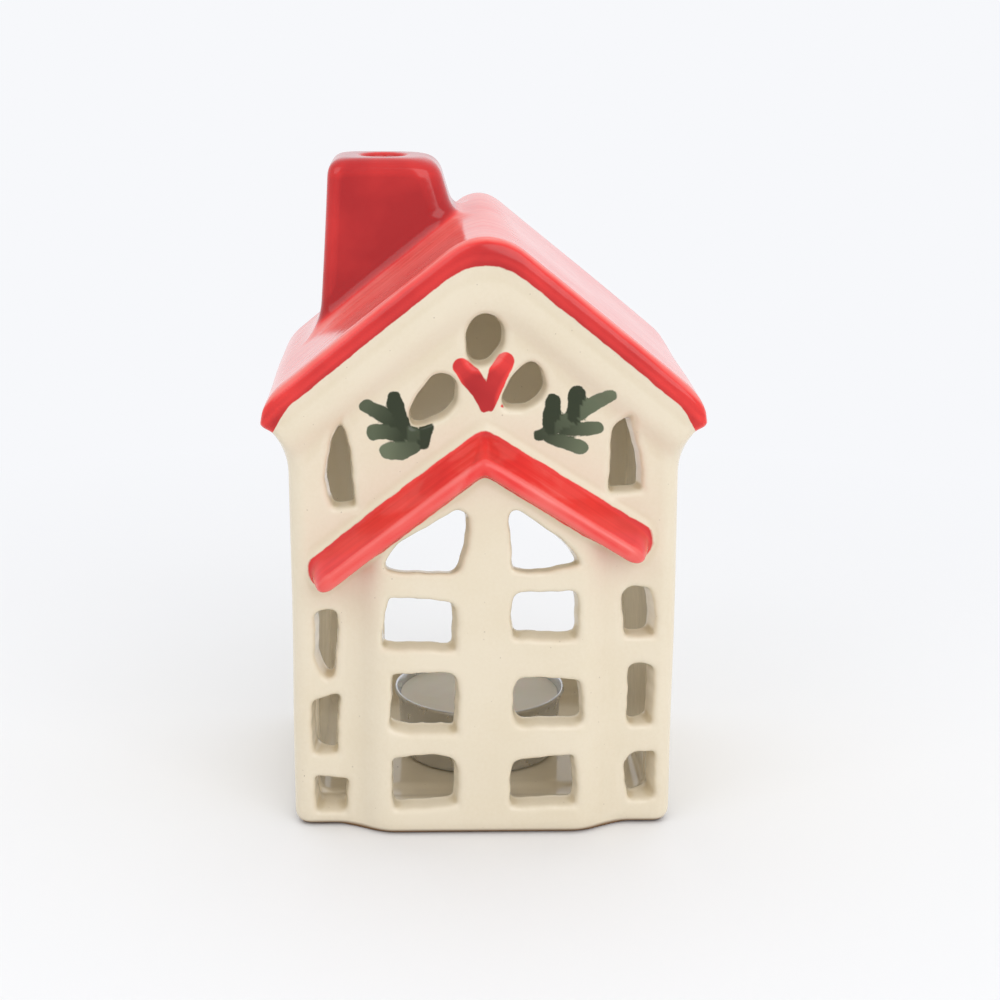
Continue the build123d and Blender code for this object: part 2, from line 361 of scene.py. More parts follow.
def cut_away(mesh: bmesh.types.BMesh, cut: Cut, where: Callable[[Vector], bool] | None = None) -> None:
    """Cuts a closed mesh with a plane and closes it again.

    Args:
        mesh: The mesh to cut.
        cut: The plane.
        where: Which faces the cut may touch, by their centres, if not all.
    """
    if where:
        chosen = [face for face in mesh.faces if where(face.calc_center_median())]
        geometry = list({part for face in chosen for part in (face, *face.edges, *face.verts)})
    else:
        geometry = mesh.verts[:] + mesh.edges[:] + mesh.faces[:]
    done = bmesh.ops.bisect_plane(
        mesh, geom=geometry, dist=1e-5, plane_co=cut.point, plane_no=cut.normal, clear_outer=True
    )
    rim = [part for part in done["geom_cut"] if isinstance(part, bmesh.types.BMEdge) and part.is_boundary]
    if not rim:
        return
    closing = bmesh.ops.triangle_fill(mesh, edges=rim, use_beauty=True, normal=cut.normal)
    for part in closing["geom"]:
        if isinstance(part, bmesh.types.BMFace):
            part.smooth = False
            part.normal_update()
            if part.normal.dot(Vector(cut.normal)) < 0:
                part.normal_flip()


def new_object(name: str, data: bpy.types.Mesh) -> bpy.types.Object:
    """An object at the origin that shows a mesh.

    Args:
        name: Its name.
        data: The mesh.

    Returns:
        The object, linked into the scene.
    """
    piece = bpy.data.objects.new(name, data)
    bpy.context.scene.collection.objects.link(piece)
    return piece


def hand_over(piece: bpy.types.Object, body: Body, nodes: Sequence[str]) -> None:
    """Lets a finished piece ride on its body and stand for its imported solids.

    Args:
        piece: The finished piece.
        body: The rigid body that it rides on.
        nodes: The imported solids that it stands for.
    """
    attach(piece, body.value)
    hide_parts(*nodes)
    log.info("%s: %d faces, for %s", piece.name, len(piece.data.polygons), ", ".join(nodes))


def read(elements: bpy.types.bpy_prop_collection, name: str, kind: type, width: int = 1) -> Values:
    """Reads one property, of as many numbers as width, of all elements of a mesh.

    Args:
        elements: Vertices, loops or polygons of a mesh.
        name: The property.
        kind: Type of its numbers.
        width: How many numbers each element has.

    Returns:
        All the numbers in one row.
    """
    values = np.empty(width * len(elements), kind)
    elements.foreach_get(name, values)
    return values


# Finishes


def linear(hex_colour: str) -> tuple[float, float, float, float]:
    """An sRGB hex colour as the linear colour that shaders take."""
    parts = [int(hex_colour[i : i + 2], 16) / 255 for i in (1, 3, 5)]
    return (*(c / 12.92 if c <= 0.04045 else ((c + 0.055) / 1.055) ** 2.4 for c in parts), 1.0)


def per_metre(millimetres: float) -> float:
    """Texture scale, in repeats per metre, of a pattern whose grain has this size."""
    return 1 / (millimetres * MM)


def feed(tree: bpy.types.NodeTree, node: Node, inputs: dict) -> None:
    """Links or sets inputs of a node.

    Args:
        tree: The tree that holds it.
        node: The node.
        inputs: By the input's name or number, a value to set, a socket to link from, or a node, of which the
            first output in use is linked.
    """
    for name, value in inputs.items():
        if isinstance(value, Node):
            value = next(socket for socket in value.outputs if socket.enabled)
        if isinstance(value, Socket):
            tree.links.new(value, node.inputs[name])
        else:
            node.inputs[name].default_value = value


def add_node(tree: bpy.types.NodeTree, kind: str, inputs: dict | None = None, **settings) -> Node:
    """Adds one node.

    Args:
        tree: The tree that gets it.
        kind: The node's type name.
        inputs: What its inputs are fed with.
        settings: Properties of the node.

    Returns:
        The new node.
    """
    node = tree.nodes.new(kind)
    for name, value in settings.items():
        setattr(node, name, value)
    feed(tree, node, inputs or {})
    return node


# Inputs of a Mix node that mixes colours, and of one that mixes numbers
SHARE, FIRST, SECOND = 0, 6, 7
FIRST_NUMBER, SECOND_NUMBER = 2, 3


@dataclass(frozen=True)
class GlazedEarthenware:
    """Cream earthenware, cast and fired, brush-painted under a clear gloss glaze.

    The eye sees a warm, slightly clouded cream with iron specks, paint that thins over edges, glaze that
    pools in the coves, sharp reflections on gentle waves, and a dry brown line where the foot was wiped,
    widened and darkened as a painted contact shadow. The room inside is painted paler as painted light, the
    bead's crest and the slopes' wash are partly a painted highlight and sheen, and worn green carries a
    painted sheen.

    Attributes:
        specks: Spacing of each kind of speck, its largest size as a share of that, and its strength.
        ragged: How far the edges of the red and of the green wander.
        paint_edge: Where a brush mark begins and where it is full, inside its edge.
        foot_line_and_shadow: Heights at which the bare foot ends and the glaze is full, set wide so that the
            bare band is also a painted contact shadow.
    """

    cream: str = "#E9DDC6"
    cream_clouded: str = "#E6D9C0"
    cream_pooled: str = "#CDB98F"
    cream_inside_painted_light: str = "#FAF0DB"
    red_wash_and_sheen: str = "#F4827A"
    red_coat: str = "#EB3733"
    red_thick: str = "#B01015"
    green: str = "#252F12"
    green_worn_and_sheen: str = "#717C60"
    speck: str = "#6F4F2E"
    bare_clay_and_shadow: str = "#80603E"
    cloud_size: float = 16.0
    grain_size: float = 0.7
    specks: tuple[Point3, ...] = ((6.0, 0.042, 0.6), (1.7, 0.1, 0.28))
    brush_hair: float = 1.3
    brush_length: float = 22.0
    brush_way: Point3 = (0.807, 0.0, -0.59)
    hair_way: Point3 = (0.59, 0.9, 0.807)
    edge_wander: float = 3.0
    ragged: Point2 = (0.6, 1.3)
    paint_edge: Point2 = (-0.1, 0.12)
    wave_size: float = 5.0
    wave_height: float = 0.15
    wave_strength: float = 0.5
    foot_line_and_shadow: Point2 = (0.6, 1.4)
    gloss: Point2 = (0.09, 0.17)
    dry: float = 0.8
    ior: float = 1.46

    def clay(self, add: AddNode, place: Socket, stored: dict[str, Socket], noise: dict[str, Node]) -> Node:
        """The colour of the clay: clouded, deeper in the coves, paler inside as painted light that brightens
        the dim room, and specked.

        Args:
            add: Adds a node to the material.
            place: Where the shaded point lies.
            stored: What is stored on the skin, by name.
            noise: The material's noises, by name.

        Returns:
            The node that gives the colour.
        """
        grained = {0: noise["grain"], 1: 0.5, 2: noise["cloud"]}
        mottled = add("ShaderNodeMath", grained, operation="MULTIPLY_ADD")
        clouded = add("ShaderNodeMapRange", {"Value": mottled, "From Min": 0.62, "From Max": 0.95})
        bend = {"Value": stored["bend"], "From Min": -0.05, "From Max": -0.8}
        pooled = add("ShaderNodeMapRange", {**bend, "To Max": 0.5})
        colour = linear(self.cream)
        layers = [(clouded, self.cream_clouded), (pooled, self.cream_pooled)]
        # Painted light: the room inside gets a paler cream so that it looks brighter than the lamps make it
        layers.append((stored["inside"], self.cream_inside_painted_light))
        for spacing, largest, strength in self.specks:
            spots = add("ShaderNodeTexVoronoi", {"Vector": place, "Scale": per_metre(spacing)})
            chance = add("ShaderNodeSeparateColor", {"Color": spots.outputs["Color"]})
            sizes = {"From Min": 0.55, "From Max": 1.0, "To Max": largest}
            radius = add("ShaderNodeMapRange", {"Value": chance, **sizes})
            within = add("ShaderNodeMath", {0: spots, 1: radius}, operation="LESS_THAN")
            share = add("ShaderNodeMath", {0: within, 1: strength}, operation="MULTIPLY")
            layers.append((share, self.speck))
        for share, layer in layers:
            mix = {SHARE: share, FIRST: colour, SECOND: linear(layer)}
            colour = add("ShaderNodeMix", mix, data_type="RGBA")
        return colour

    def red(self, add: AddNode, place: Socket, stored: dict[str, Socket], cloud: Node) -> Node:
        """The colour of the red paint, which is streaky where it is thin and deeper where it is thick.

        Args:
            add: Adds a node to the material.
            place: Where the shaded point lies.
            stored: What is stored on the skin, by name.
            cloud: The noise of the clouds.

        Returns:
            The node that gives the colour.
        """
        # The brush follows the slope of the roofs, so its hairs leave streaks down the slope
        parts = add("ShaderNodeSeparateXYZ", {"Vector": place}).outputs
        sideways = add("ShaderNodeMath", {0: parts["X"]}, operation="ABSOLUTE")
        on_slope = add("ShaderNodeCombineXYZ", {"X": sideways, "Y": parts["Y"], "Z": parts["Z"]})
        along = add("ShaderNodeVectorMath", {0: on_slope, 1: self.brush_way}, operation="DOT_PRODUCT")
        across = add("ShaderNodeVectorMath", {0: on_slope, 1: self.hair_way}, operation="DOT_PRODUCT")
        hairs = add("ShaderNodeCombineXYZ", {"X": along, "Y": across})
        hair_scale = (per_metre(self.brush_length), per_metre(self.brush_hair), 1.0)
        brushed = add("ShaderNodeMapping", {"Vector": hairs, "Scale": hair_scale})
        streaks = add("ShaderNodeTexNoise", {"Vector": brushed, "Scale": 1.0, "Detail": 3.0})
        spread = {"From Min": 0.3, "From Max": 0.7, "To Min": -0.14, "To Max": 0.15}
        streak = add("ShaderNodeMapRange", {"Value": streaks, **spread})
        bend = {"Value": stored["bend"], "From Min": 0.12, "From Max": 0.6}
        thinned = add("ShaderNodeMapRange", {**bend, "To Max": -0.3})
        # A thick coat hides the hairs and shows faint clouds
        bare = add("ShaderNodeMath", {0: 1.0, 1: stored["coat"]}, operation="SUBTRACT", use_clamp=True)
        spread = {"From Min": 0.35, "From Max": 0.65, "To Min": -0.1, "To Max": 0.1}
        cloudy = add("ShaderNodeMapRange", {"Value": cloud, **spread})
        coat = add("ShaderNodeMath", {0: stored["coat"], 1: cloudy}, operation="ADD")
        coat = add("ShaderNodeMath", {0: streak, 1: bare, 2: coat}, operation="MULTIPLY_ADD")
        coat = add("ShaderNodeMath", {0: coat, 1: thinned}, operation="ADD", use_clamp=True)
        # A thin coat shows the light wash, which is partly painted sheen on the slopes and a painted
        # highlight on the bead
        red = linear(self.red_wash_and_sheen)
        for start, deeper in ((0.0, self.red_coat), (0.5, self.red_thick)):
            share = add("ShaderNodeMapRange", {"Value": coat, "From Min": start, "From Max": start + 0.5})
            red = add("ShaderNodeMix", {SHARE: share, FIRST: red, SECOND: linear(deeper)}, data_type="RGBA")
        return red

    def build(self) -> bpy.types.Material:
        """Makes the material, which reads the paint stored on the points of the skin.

        Returns:
            The material.
        """
        material = bpy.data.materials.new("glazed_earthenware")
        material.use_nodes = True
        tree = material.node_tree
        add = partial(add_node, tree)
        place = add("ShaderNodeTexCoord").outputs["Object"]
        stored = {
            name: add("ShaderNodeAttribute", attribute_name=name).outputs["Fac"]
            for name in ("red", "coat", "green", "tone", "bend", "inside")
        }
        noises = {
            "cloud": (self.cloud_size, 3.0),
            "grain": (self.grain_size, 2.0),
            "wander": (self.edge_wander, 3.0),
            "wave": (self.wave_size, 2.0),
        }
        noise = {
            name: add("ShaderNodeTexNoise", {"Vector": place, "Scale": per_metre(size), "Detail": detail})
            for name, (size, detail) in noises.items()
        }

        colour = self.clay(add, place, stored, noise)
        red = self.red(add, place, stored, noise["cloud"])
        # The worn tone greys the green, partly as wear and partly as a painted gloss sheen
        greens = {FIRST: linear(self.green), SECOND: linear(self.green_worn_and_sheen)}
        green = add("ShaderNodeMix", {SHARE: stored["tone"], **greens}, data_type="RGBA")
        off_middle = add("ShaderNodeMath", {0: noise["wander"], 1: 0.5}, operation="SUBTRACT")
        edge = {"From Min": self.paint_edge[0], "From Max": self.paint_edge[1]}
        for paint, distance, ragged in zip((red, green), (stored["red"], stored["green"]), self.ragged):
            uneven = add("ShaderNodeMath", {0: off_middle, 1: ragged, 2: distance}, operation="MULTIPLY_ADD")
            covered = add("ShaderNodeMapRange", {"Value": uneven, **edge})
            colour = add("ShaderNodeMix", {SHARE: covered, FIRST: colour, SECOND: paint}, data_type="RGBA")

        # Bare foot band, set wide and dark so that it also paints the contact shadow along the base
        height = add("ShaderNodeSeparateXYZ", {"Vector": place}).outputs["Z"]
        bare, glazed = (level * MM for level in self.foot_line_and_shadow)
        foot = {"From Min": bare, "From Max": glazed, "To Min": 1.0, "To Max": 0.0}
        dry = add("ShaderNodeMapRange", {"Value": height, **foot})
        mix = {SHARE: dry, FIRST: colour, SECOND: linear(self.bare_clay_and_shadow)}
        colour = add("ShaderNodeMix", mix, data_type="RGBA")
        gloss = {"To Min": self.gloss[0], "To Max": self.gloss[1]}
        glossy = add("ShaderNodeMapRange", {"Value": noise["cloud"], **gloss})
        mix = {SHARE: dry, FIRST_NUMBER: glossy, SECOND_NUMBER: self.dry}
        rough = add("ShaderNodeMix", mix, data_type="FLOAT")
        wave = {"Strength": self.wave_strength, "Distance": self.wave_height * MM}
        bump = add("ShaderNodeBump", {"Height": noise["wave"], **wave})
        surface = {"Base Color": colour, "Roughness": rough, "Normal": bump, "IOR": self.ior}
        feed(tree, tree.nodes["Principled BSDF"], surface)
        return material


@dataclass(frozen=True)
class PlainFinish:
    """A finish of one colour with a fine uneven grain, whose sizes are in millimetres."""

    name: str
    colour: str
    grain_colour: str
    grain_size: float
    metallic: float
    roughness: Point2
    bump: float
    subsurface: float = 0.0
    subsurface_depth: float = 2.0
    bump_strength: float = 0.3

    def build(self) -> bpy.types.Material:
        """Makes the material.

        Returns:
            The material.
        """
        material = bpy.data.materials.new(self.name)
        material.use_nodes = True
        tree = material.node_tree
        add = partial(add_node, tree)
        place = add("ShaderNodeTexCoord").outputs["Object"]
        scale = per_metre(self.grain_size)
        grain = add("ShaderNodeTexNoise", {"Vector": place, "Scale": scale, "Detail": 4.0})
        tints = {FIRST: linear(self.colour), SECOND: linear(self.grain_colour)}
        rough = {"To Min": self.roughness[0], "To Max": self.roughness[1]}
        bump = {"Strength": self.bump_strength, "Distance": self.bump * MM}
        surface = {
            "Base Color": add("ShaderNodeMix", {SHARE: grain, **tints}, data_type="RGBA"),
            "Roughness": add("ShaderNodeMapRange", {"Value": grain, **rough}),
            "Normal": add("ShaderNodeBump", {"Height": grain, **bump}),
            "Metallic": self.metallic,
            "Subsurface Weight": self.subsurface,
            "Subsurface Scale": self.subsurface_depth * MM,
        }
        feed(tree, tree.nodes["Principled BSDF"], surface)
        return material


# Deep-drawn aluminium foil: bright, with faint cloudy draw marks
DRAWN_ALUMINIUM = PlainFinish("drawn_aluminium", "#D8D9DB", "#CDCED1", 3.0, 1.0, (0.24, 0.32), 0.01)
# Poured paraffin: milky, with light going a little way in and a dull skin
PARAFFIN = PlainFinish("paraffin_wax", "#F1EDE2", "#E6E0CF", 7.0, 0.0, (0.35, 0.5), 0.05, 0.25)
# Stamped tinplate: grey and half bright
TINPLATE = PlainFinish("stamped_tinplate", "#B9BABC", "#9FA1A4", 2.0, 1.0, (0.3, 0.45), 0.02)
# Braided cotton coated with wax: off-white strands, too fine for the weave to show, so drawn as grain
WAXED_COTTON = PlainFinish("waxed_cotton", "#ECE6D6", "#D8CEB8", 0.5, 0.0, (0.55, 0.7), 0.05)


# The house


@dataclass(frozen=True)
class HouseSizes:
    """Main sizes of the house in millimetres and degrees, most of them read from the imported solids.

    Attributes:
        ridge_radius: Radius of the round ridge, from which the height of a sharp ridge follows.
        ridge_reach: How far from the middle the ridge is rounded, at the front and at the back.
        ridge_ramp: Where along the house the rounding begins and ends to change.
        soffit_foot, soffit_rise: Where the soffit under the eaves leaves the walls, and how much it rises.
        porch_pitch, porch_reach: Pitch and reach of the left and the right arm of the porch roof.
        chimney_lean: How far the stack's left and right side run out for each millimetre down.
    """

    inner_half_width: float
    inner_half_depth: float
    floor: float
    half_depth: float
    bay_half_width: float
    bay_front: float
    eave: float
    roof_end: float
    crest: float
    porch_front: float
    porch_height: float
    porch_reach: Point2
    chimney_y: Point2
    chimney_top: float
    roof_pitch: float = 39.1
    ridge_radius: float = 13.2
    ridge_reach: Point2 = (8.4, 5.0)
    ridge_ramp: Point2 = (-25.0, 30.0)
    roof_thickness: float = 4.5
    corner_radius: float = 3.6
    moulding_drop: float = 6.5
    moulding_depth: float = 2.2
    moulding_setback: float = 1.5
    soffit_foot: float = 81.8
    soffit_rise: float = 5.0
    bay_draft: float = 3.0
    bay_head_drop: float = 6.0
    porch_pitch: Point2 = (38.2, 32.6)
    porch_fall: float = 5.0
    porch_front_height: float = 2.9
    porch_end_lean: float = 24.0
    recess_pitch: float = 36.2
    recess_half_width: float = 20.5
    recess_lintel: float = 4.0
    chimney_top_x: Point2 = (-32.4, -9.4)
    chimney_lean: Point2 = (2.2 / 37.0, 4.5 / 15.3)
    flue_half: float = 6.0
    flue_cap: float = 4.0
    flue_depth: float = 7.0
    vent_radius: float = 4.5
    vent_depth: float = 7.0
    doorway_half_width: float = 26.0
    doorway_z: Point2 = (12.0, 64.0)
    doorway_head_radius: float = 14.0
    doorway_foot_radius: float = 3.0
    room_corner: float = 4.0
    foot_rim: float = 4.5
    foot_hollow: float = 0.5

    @classmethod
    def from_frame(cls) -> "HouseSizes":
        """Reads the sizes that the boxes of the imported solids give.

        Returns:
            The sizes.
        """
        floor_low, floor_high = node_box("floor_slab")
        bay_low, bay_high = node_box("bay_front")
        roof_low, roof_high = node_box("roof_left_slope")
        porch_low, porch_high = node_box("porch_roof")
        stack_low, stack_high = node_box("chimney")
        return cls(
            inner_half_width=floor_high[0],
            inner_half_depth=floor_high[1],
            floor=floor_high[2],
            half_depth=-bay_high[1],
            bay_half_width=bay_high[0],
            bay_front=bay_low[1],
            eave=-roof_low[0],
            roof_end=roof_high[1],
            crest=roof_high[2],
            porch_front=porch_low[1],
            porch_height=porch_high[2],
            porch_reach=(-porch_low[0], porch_high[0]),
            chimney_y=(stack_low[1], stack_high[1]),
            chimney_top=stack_high[2],
        )

    @property
    def wall(self) -> float:
        """Thickness of the walls."""
        return self.half_depth - self.inner_half_depth

    @property
    def half_width(self) -> float:
        """Half the width over the side walls."""
        return self.inner_half_width + self.wall

    @property
    def slope(self) -> float:
        """Rise of the roof over its run."""
        return math.tan(math.radians(self.roof_pitch))

    @property
    def recess_slope(self) -> float:
        """Rise of the head of the bay's recess over its run."""
        return math.tan(math.radians(self.recess_pitch))

    @property
    def square(self) -> float:
        """Turns upright distances into distances square to the roof."""
        return math.cos(math.radians(self.roof_pitch))

    @property
    def ridge(self) -> float:
        """Height at which the two slopes would meet in a sharp ridge."""
        return self.crest + self.ridge_radius * (1 / self.square - 1)


@dataclass(frozen=True)
class KnifeCut:
    """A hole cut through the front by hand, by the corners of its outer edge.

    Attributes:
        corners: Points on the outer face, in millimetres.
        sill: How much higher the sill is at the inner face.
        lean: How much the left and the right side lean into the hole towards the inner face.
        corner: Width of the rounding in its corners.
    """

    corners: tuple[Point2, ...]
    sill: float = 0.6
    lean: Point2 = (0.2, 1.2)
    corner: float = 1.2

    def distance(self, x: Values, z: Values, depth: Values, number: int) -> Values:
        """Distance to the hole's wall, which wobbles as a hand does and leans through the clay.

        Args:
            x, z: Places on the front.
            depth: From 0 at the wall's outer face to 1 at its inner face.
            number: Which hole it is, so that no two wobble alike.

        Returns:
            The distances, negative inside.
        """
        wobble_x = x + 0.1 * np.sin(0.55 * z + 1.7 * number) + 0.06 * np.sin(1.7 * z + 0.9 * number)
        wobble_z = z + 0.1 * np.sin(0.5 * x + 2.3 * number) + 0.06 * np.sin(1.5 * x + 1.3 * number)
        sides = zip(self.corners, self.corners[1:] + self.corners[:1])
        area = sum(a[0] * b[1] - b[0] * a[1] for a, b in sides)
        ordered = self.corners if area > 0 else self.corners[::-1]
        result = None
        for (x0, z0), (x1, z1) in zip(ordered, ordered[1:] + ordered[:1]):
            length = math.hypot(x1 - x0, z1 - z0)
            normal_x, normal_z = (z1 - z0) / length, (x0 - x1) / length
            side = (wobble_x - x0) * normal_x + (wobble_z - z0) * normal_z
            leaning = self.lean[0] * max(-normal_x, 0) + self.lean[1] * max(normal_x, 0)
            side = side + (leaning + self.sill * max(-normal_z, 0)) * depth
            result = side if result is None else soft_meet(result, side, self.corner)
        return result


@dataclass(frozen=True)
class BrushStroke:
    """One brush mark: its line, its half widths at those points, and how worn its ends are, from 0 to 1,
    which also greys them as a painted sheen.
    """

    points: tuple[Point2, ...]
    widths: tuple[float, ...]
    worn_and_sheen: Point2 = (0.0, 0.0)


BAY_WINDOWS = (
    KnifeCut(
        ((-20.4, 58.4), (-18.6, 57.0), (-5.2, 57.0), (-3.4, 61.0), (-3.0, 68.8), (-5.6, 70.4), (-18.0, 62.8)),
        sill=-0.6,
    ),
    KnifeCut(
        ((5.5, 57.4), (4.6, 69.2), (6.2, 70.4), (7.4, 70.0), (17.0, 62.8), (19.8, 58.6), (11.0, 56.9)),
        sill=-0.4,
        lean=(0.2, 1.6),
    ),
    KnifeCut(
        ((-21.0, 40.7), (-20.2, 50.0), (-19.2, 51.9), (-6.6, 50.9), (-5.4, 49.4), (-5.3, 40.2)),
        sill=0.9,
        lean=(0.2, 1.6),
    ),
    KnifeCut(
        ((5.8, 42.7), (4.9, 47.5), (6.2, 52.7), (18.2, 53.2), (19.5, 51.8), (19.2, 42.5)),
        sill=1.1,
    ),
    KnifeCut(
        ((-19.4, 23.4), (-18.9, 35.3), (-11.4, 35.9), (-5.9, 35.5))
        + ((-5.0, 33.8), (-5.2, 22.2), (-17.8, 22.6)),
        sill=1.3,
    ),
    KnifeCut(
        ((5.6, 26.0), (6.1, 33.2), (7.2, 34.6), (19.4, 34.2), (20.4, 33.0), (20.7, 24.2), (7.2, 23.8)),
        sill=1.0,
    ),
    KnifeCut(
        ((-19.4, 11.5), (-18.8, 16.9), (-10.2, 18.2), (-5.8, 16.8), (-5.0, 15.0), (-5.0, 6.4), (-18.6, 5.4)),
        sill=1.0,
        lean=(0.2, 1.5),
    ),
    KnifeCut(
        ((5.4, 6.1), (5.3, 13.8), (6.7, 16.7), (18.9, 17.6), (19.8, 12.9), (19.4, 6.3)),
        sill=1.0,
        lean=(0.3, 1.3),
    ),
)
WING_WINDOWS = (
    KnifeCut(
        ((-34.9, 36.0), (-34.9, 46.9), (-32.1, 48.1), (-29.8, 47.0))
        + ((-29.7, 39.5), (-30.5, 33.0), (-32.6, 32.4)),
        lean=(0.7, 0.5),
    ),
    KnifeCut(((-35.6, 16.1), (-35.7, 27.8), (-29.3, 29.7), (-29.7, 21.5), (-30.0, 16.0)), lean=(0.5, 0.6)),
    KnifeCut(((-35.1, 3.2), (-35.2, 11.4), (-27.9, 10.7), (-28.5, 3.2)), sill=1.0, lean=(0.5, 0.6)),
    KnifeCut(
        ((28.9, 41.6), (28.1, 50.8), (30.0, 52.7), (34.4, 52.0), (35.5, 49.0), (35.5, 41.4)),
        lean=(0.2, 1.4),
    ),
    KnifeCut(((30.0, 22.1), (29.8, 34.7), (31.6, 36.1), (35.6, 35.3), (35.6, 22.4)), lean=(0.2, 1.2)),
    KnifeCut(((30.5, 5.4), (29.4, 14.2), (31.0, 16.2), (36.2, 16.3), (36.5, 5.6)), sill=0.9, lean=(0.2, 1.4)),
    KnifeCut(
        ((-28.5, 87.3), (-26.6, 81.0), (-25.9, 69.4), (-31.0, 68.9), (-32.4, 74.4), (-31.1, 83.6)),
        lean=(0.4, 0.8),
    ),
    KnifeCut(
        ((28.9, 88.6), (31.5, 81.0), (32.2, 72.7), (24.9, 72.1), (24.8, 77.5), (25.5, 85.8)),
        lean=(0.2, 1.3),
    ),
)
GABLE_LIGHTS = (
    KnifeCut(
        ((-4.6, 102.9), (-3.4, 107.6), (0.3, 109.7), (3.4, 107.9))
        + ((4.7, 104.2), (2.6, 99.8), (-1.0, 97.4), (-3.9, 98.8)),
        lean=(0.2, 0.9),
        corner=2.4,
    ),
    KnifeCut(
        ((-15.9, 88.2), (-14.9, 85.4), (-10.6, 86.2), (-6.6, 88.2))
        + ((-4.6, 92.4), (-6.4, 96.7), (-10.4, 97.1), (-13.4, 93.8)),
        lean=(0.2, 0.9),
        corner=2.2,
    ),
    KnifeCut(
        ((3.3, 94.4), (3.0, 89.8), (6.8, 89.0), (10.9, 90.4), (12.7, 93.4))
        + ((12.5, 96.6), (10.7, 99.3), (8.2, 100.0), (5.7, 97.7)),
        lean=(0.2, 0.9),
        corner=2.2,
    ),
)
HEART = (
    BrushStroke(((-4.9, 98.4), (-3.0, 96.2), (-1.0, 93.6), (-0.3, 89.7)), (1.7, 2.2, 1.9, 0.75)),
    BrushStroke(((4.0, 99.6), (2.6, 97.0), (1.4, 93.6), (1.0, 89.8)), (1.7, 2.1, 1.8, 0.7)),
    BrushStroke(((3.4, 90.3), (3.5, 90.2)), (0.35, 0.35)),
)
SPRIGS = (
    BrushStroke(((-18.3, 92.1), (-17.5, 89.0), (-16.6, 86.2)), (1.35, 1.75, 1.7)),
    BrushStroke(((-23.8, 90.3), (-21.2, 89.0), (-18.0, 87.0)), (1.3, 1.6, 1.6), (0.4, 0.0)),
    BrushStroke(((-22.3, 85.0), (-19.6, 85.1), (-16.6, 84.6)), (1.55, 1.7, 1.7), (0.5, 0.0)),
    BrushStroke(((-19.5, 81.3), (-17.2, 81.2), (-14.3, 82.2)), (1.75, 1.8, 1.6), (0.8, 0.3)),
    BrushStroke(((-11.6, 86.2), (-12.6, 82.9)), (1.3, 1.5)),
    BrushStroke(((-18.2, 88.0), (-15.8, 85.2), (-12.8, 83.0)), (1.5, 1.7, 1.5), (0.3, 0.15)),
    BrushStroke(((13.5, 91.2), (13.2, 88.4), (12.9, 85.4)), (1.7, 1.75, 1.5)),
    BrushStroke(((18.4, 92.8), (17.9, 90.6), (17.6, 88.0)), (1.8, 1.75, 1.7)),
    BrushStroke(((10.9, 84.4), (16.0, 86.9), (20.0, 89.9), (24.9, 92.9)), (1.2, 1.6, 1.6, 1.3), (0.1, 0.8)),
    BrushStroke(((22.4, 85.9), (19.0, 85.6), (15.6, 85.6)), (1.35, 1.45, 1.4), (0.6, 0.1)),
    BrushStroke(((19.2, 81.9), (16.0, 83.0), (12.6, 84.1)), (1.5, 1.45, 1.2), (0.7, 0.15)),
)


@dataclass(frozen=True)
class Section:
    """One piece of the house, by the block it is skinned in and the cuts that part it from its neighbours.

    Attributes:
        node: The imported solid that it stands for.
        slot: Its material slot.
        low, high: Corners of the block, of which one side at most cuts through clay.
        cuts: The cuts, of which the first takes away that side.
    """

    node: str
    slot: Slot
    low: Point3
    high: Point3
    cuts: tuple[Cut, ...]


@dataclass(frozen=True)
class GlazedEdges:
    """Widths, in millimetres, of the roundings that fingers and glaze leave on edges and in coves."""

    eave: float = 4.4
    roof_end: float = 2.6
    roof_underside: float = 4.2
    roof_cove: float = 1.4
    foot: float = 3.2
    moulding: float = 3.6
    moulding_side: float = 2.4
    moulding_cove: float = 4.6
    bay_corner: float = 3.0
    bay_cove: float = 4.5
    porch_front: float = 0.8
    porch_lip: float = 1.6
    porch_end: float = 4.4
    porch_cove: float = 1.8
    porch_top_peak: Point2 = (1.4, 0.9)
    porch_lower_peak: Point2 = (0.7, 0.3)
    chimney_corner: float = 5.5
    chimney_left: float = 3.0
    chimney_top: float = 3.8
    chimney_cove: float = 4.5
    flue: float = 2.0
    flue_mouth: float = 1.0
    room: float = 3.0
    recess: float = 2.0
    doorway: float = 1.3
    hollow_foot: float = 0.6
    knife: float = 1.1


@dataclass(frozen=True)
class RedPaint:
    """Where the red ends, in millimetres, and how thick it is, from 0 for a wash to 1 for a full coat.

    A span says where a change sets in and where it is complete. The groove's coat and the rubbing of the bead
    are swells, by their height, place and half width. The rubbed bead crest is partly a painted highlight,
    and the thin wash of the slopes is partly painted sheen.
    """

    line: float = 4.0
    eave_drop: float = 3.6
    eave_span: Point2 = (38.5, 45.0)
    flue_edge: float = 0.4
    vent_cover: float = 2.0
    vent_span: Point2 = (133.0, 135.4)
    porch_lip: float = 0.5
    porch_end: float = 3.0
    wall_clear: float = 0.35
    front_reach: float = 0.7
    end_coat: float = 0.86
    wash_and_sheen_loss: float = 0.74
    wash_and_sheen_span: Point2 = (1.0, 3.0)
    groove_coat: Point3 = (0.3, 3.6, 0.8)
    bead_rub_highlight: Point3 = (0.42, 1.3, 0.7)
    rub_highlight_span: Point2 = (0.5, 1.3)
    chimney_coat: float = 0.98
    chimney_span: Point2 = (-1.6, -0.2)
    porch_coat: float = 0.56
    overlap_coat: float = 0.2
    overlap_lean: float = 0.45
    overlap_span: Point2 = (-0.6, 0.3)
    overlap_fade: Point2 = (0.0, 12.0)
    ends_coat: float = 0.16
    ends_span: Point2 = (-1.6, 0.2)
    heart_coat: float = 0.66
    heart_gain: float = 0.28
    heart_span: Point2 = (0.05, 0.45)


